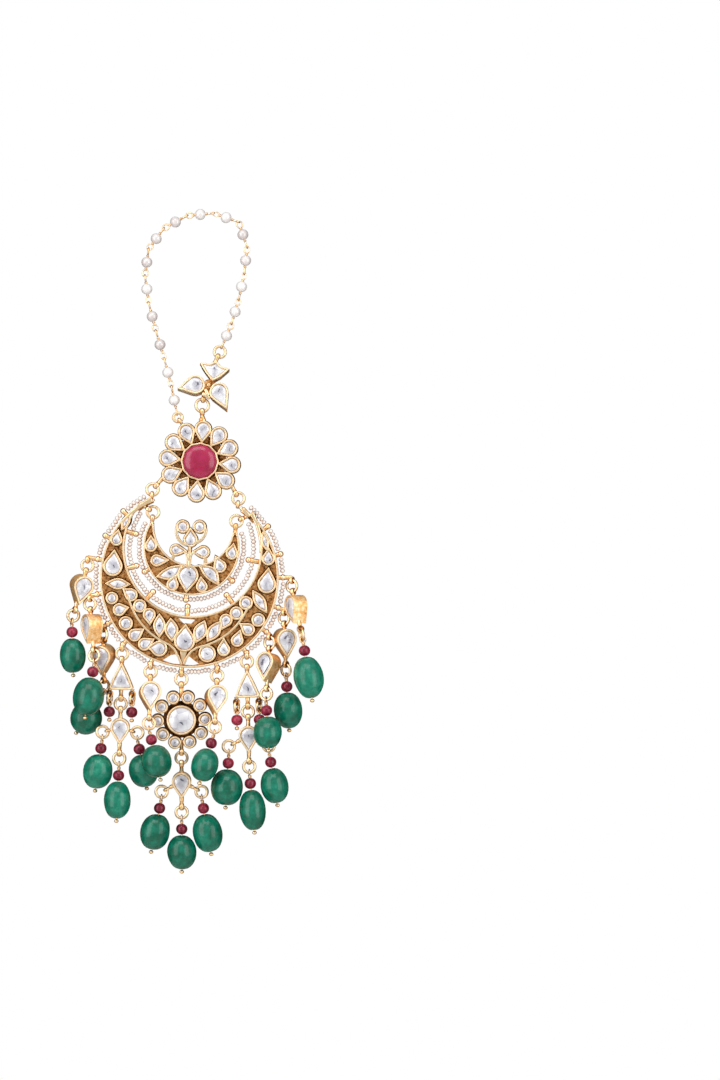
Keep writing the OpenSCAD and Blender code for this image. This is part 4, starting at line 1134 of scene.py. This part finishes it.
green_stone = bead_stone("green_stone", (0.001, 0.095, 0.053), (0.003, 0.185, 0.112), (0.03, 0.30, 0.19),
                         0.25, 0.45)
red_stone = bead_stone("red_stone", (0.10, 0.002, 0.012), (0.22, 0.006, 0.03), (0.42, 0.03, 0.07), 0.25, 0.9)


def add_bead(bm, centre, up, radius, half, uneven, tone, segments, seed):
    """A drilled bead with full shoulders and a dimple at each end"""
    part = bmesh.new()
    outline = [(0.16, half * 0.80), (0.30, half * 0.97)]
    shoulder = math.radians(80)
    for k in range(segments // 2 + 1):
        slope = math.radians(80 - 160 * k / (segments // 2))
        outline.append((radius * math.cos(slope) ** 0.85, half * 0.99 * math.sin(slope) / math.sin(shoulder)))
    outline[2] = (outline[2][0], half * 0.985)
    outline[-1] = (outline[-1][0], -half * 0.985)
    outline += [(0.30, -half * 0.97), (0.16, -half * 0.80)]
    verts = [part.verts.new((r, 0, z)) for r, z in outline]
    for first, second in zip(verts, verts[1:] + verts[:1]):
        part.edges.new((first, second))
    turn_round(part, segments)
    mark(part, "tone", lambda co: tone)
    for vertex in part.verts:
        if vertex.co.xy.length > 0.5:
            bump = noise.noise(vertex.co / radius * 0.8 + Vector((seed * 5.1, 0, seed)))
            vertex.co *= 1 + uneven * min(0, bump - 0.2)
    put_at(bm, part, centre, turned_to(up))


green_nodes = ["green_bead_%d" % k for k in range(1, 18)]
reds = [middle(points) for points, faces in solids_of("red_beads")]
bead_chance = random.Random(8)
greens_mesh = bmesh.new()
reds_mesh = bmesh.new()
bead_pins = bmesh.new()
red_radius = 1.45
pin_radius = 0.2


def add_red_bead(red, up, tone, seed):
    """One of the small red beads"""
    add_bead(reds_mesh, red, up, red_radius, red_radius * 0.93, 0.04, tone, 18, seed)


def add_head_pin(red, up, eye_at, ball_at):
    """A pin with an eye, two turns of wire over the red bead, and a flat ball below"""
    eye = red + up * eye_at * 0.001
    ring = nearest_ring(eye)
    add_ring(bead_pins, eye, (eye - ring[0]).cross(ring[1]), 0.7, pin_radius, steps=24)
    add_rod(bead_pins, eye - up * 0.0006, red - up * ball_at * 0.001, pin_radius)
    for turns in range(3):
        add_ring(bead_pins, red + up * (red_radius + 0.12 + turns * 0.24) * 0.001,
                 up + Vector((0.12, 0, 0.1)), 0.30, 0.14, steps=14)
    add_ball(bead_pins, red - up * ball_at * 0.001, 0.55, (1, 1, 0.85), lift_here=0.92)


used = set()
for number, node in enumerate(green_nodes):
    points = solids_of(node)[0][0]
    centre = middle(points)
    red = min(reds, key=lambda r: (r - centre).length if (r - centre).normalized().z > 0.8 else 1)
    used.add(tuple(red))
    up = (red - centre).normalized()
    half = max((p - centre).dot(up) for p in points) * 1000
    radius = max(((p - centre) - up * (p - centre).dot(up)).length for p in points) * 1000
    add_bead(greens_mesh, centre, up, radius, half, 0.05, bead_chance.uniform(-0.12, 0.08), 28, number)
    add_red_bead(red, up, bead_chance.uniform(-0.15, 0.15), number)
    add_head_pin(red, up, 2.75, (red - centre).length * 1000 + half + 0.6)
for number, red in enumerate(reds):
    if tuple(red) not in used:
        up = Vector((0, 0, 1))
        add_red_bead(red, up, bead_chance.uniform(-0.1, 0.2), number)
        add_head_pin(red, up, 2.3, red_radius + 0.6)
dress("green_beads", greens_mesh, green_stone, "main_drop", "green_stone", *green_nodes, crease=50)
dress("red_beads_round", reds_mesh, red_stone, "main_drop", "red_stone", "red_beads", crease=50)
dress("bead_head_pins", bead_pins, wall_gold, "main_drop", "gold", "head_pins")
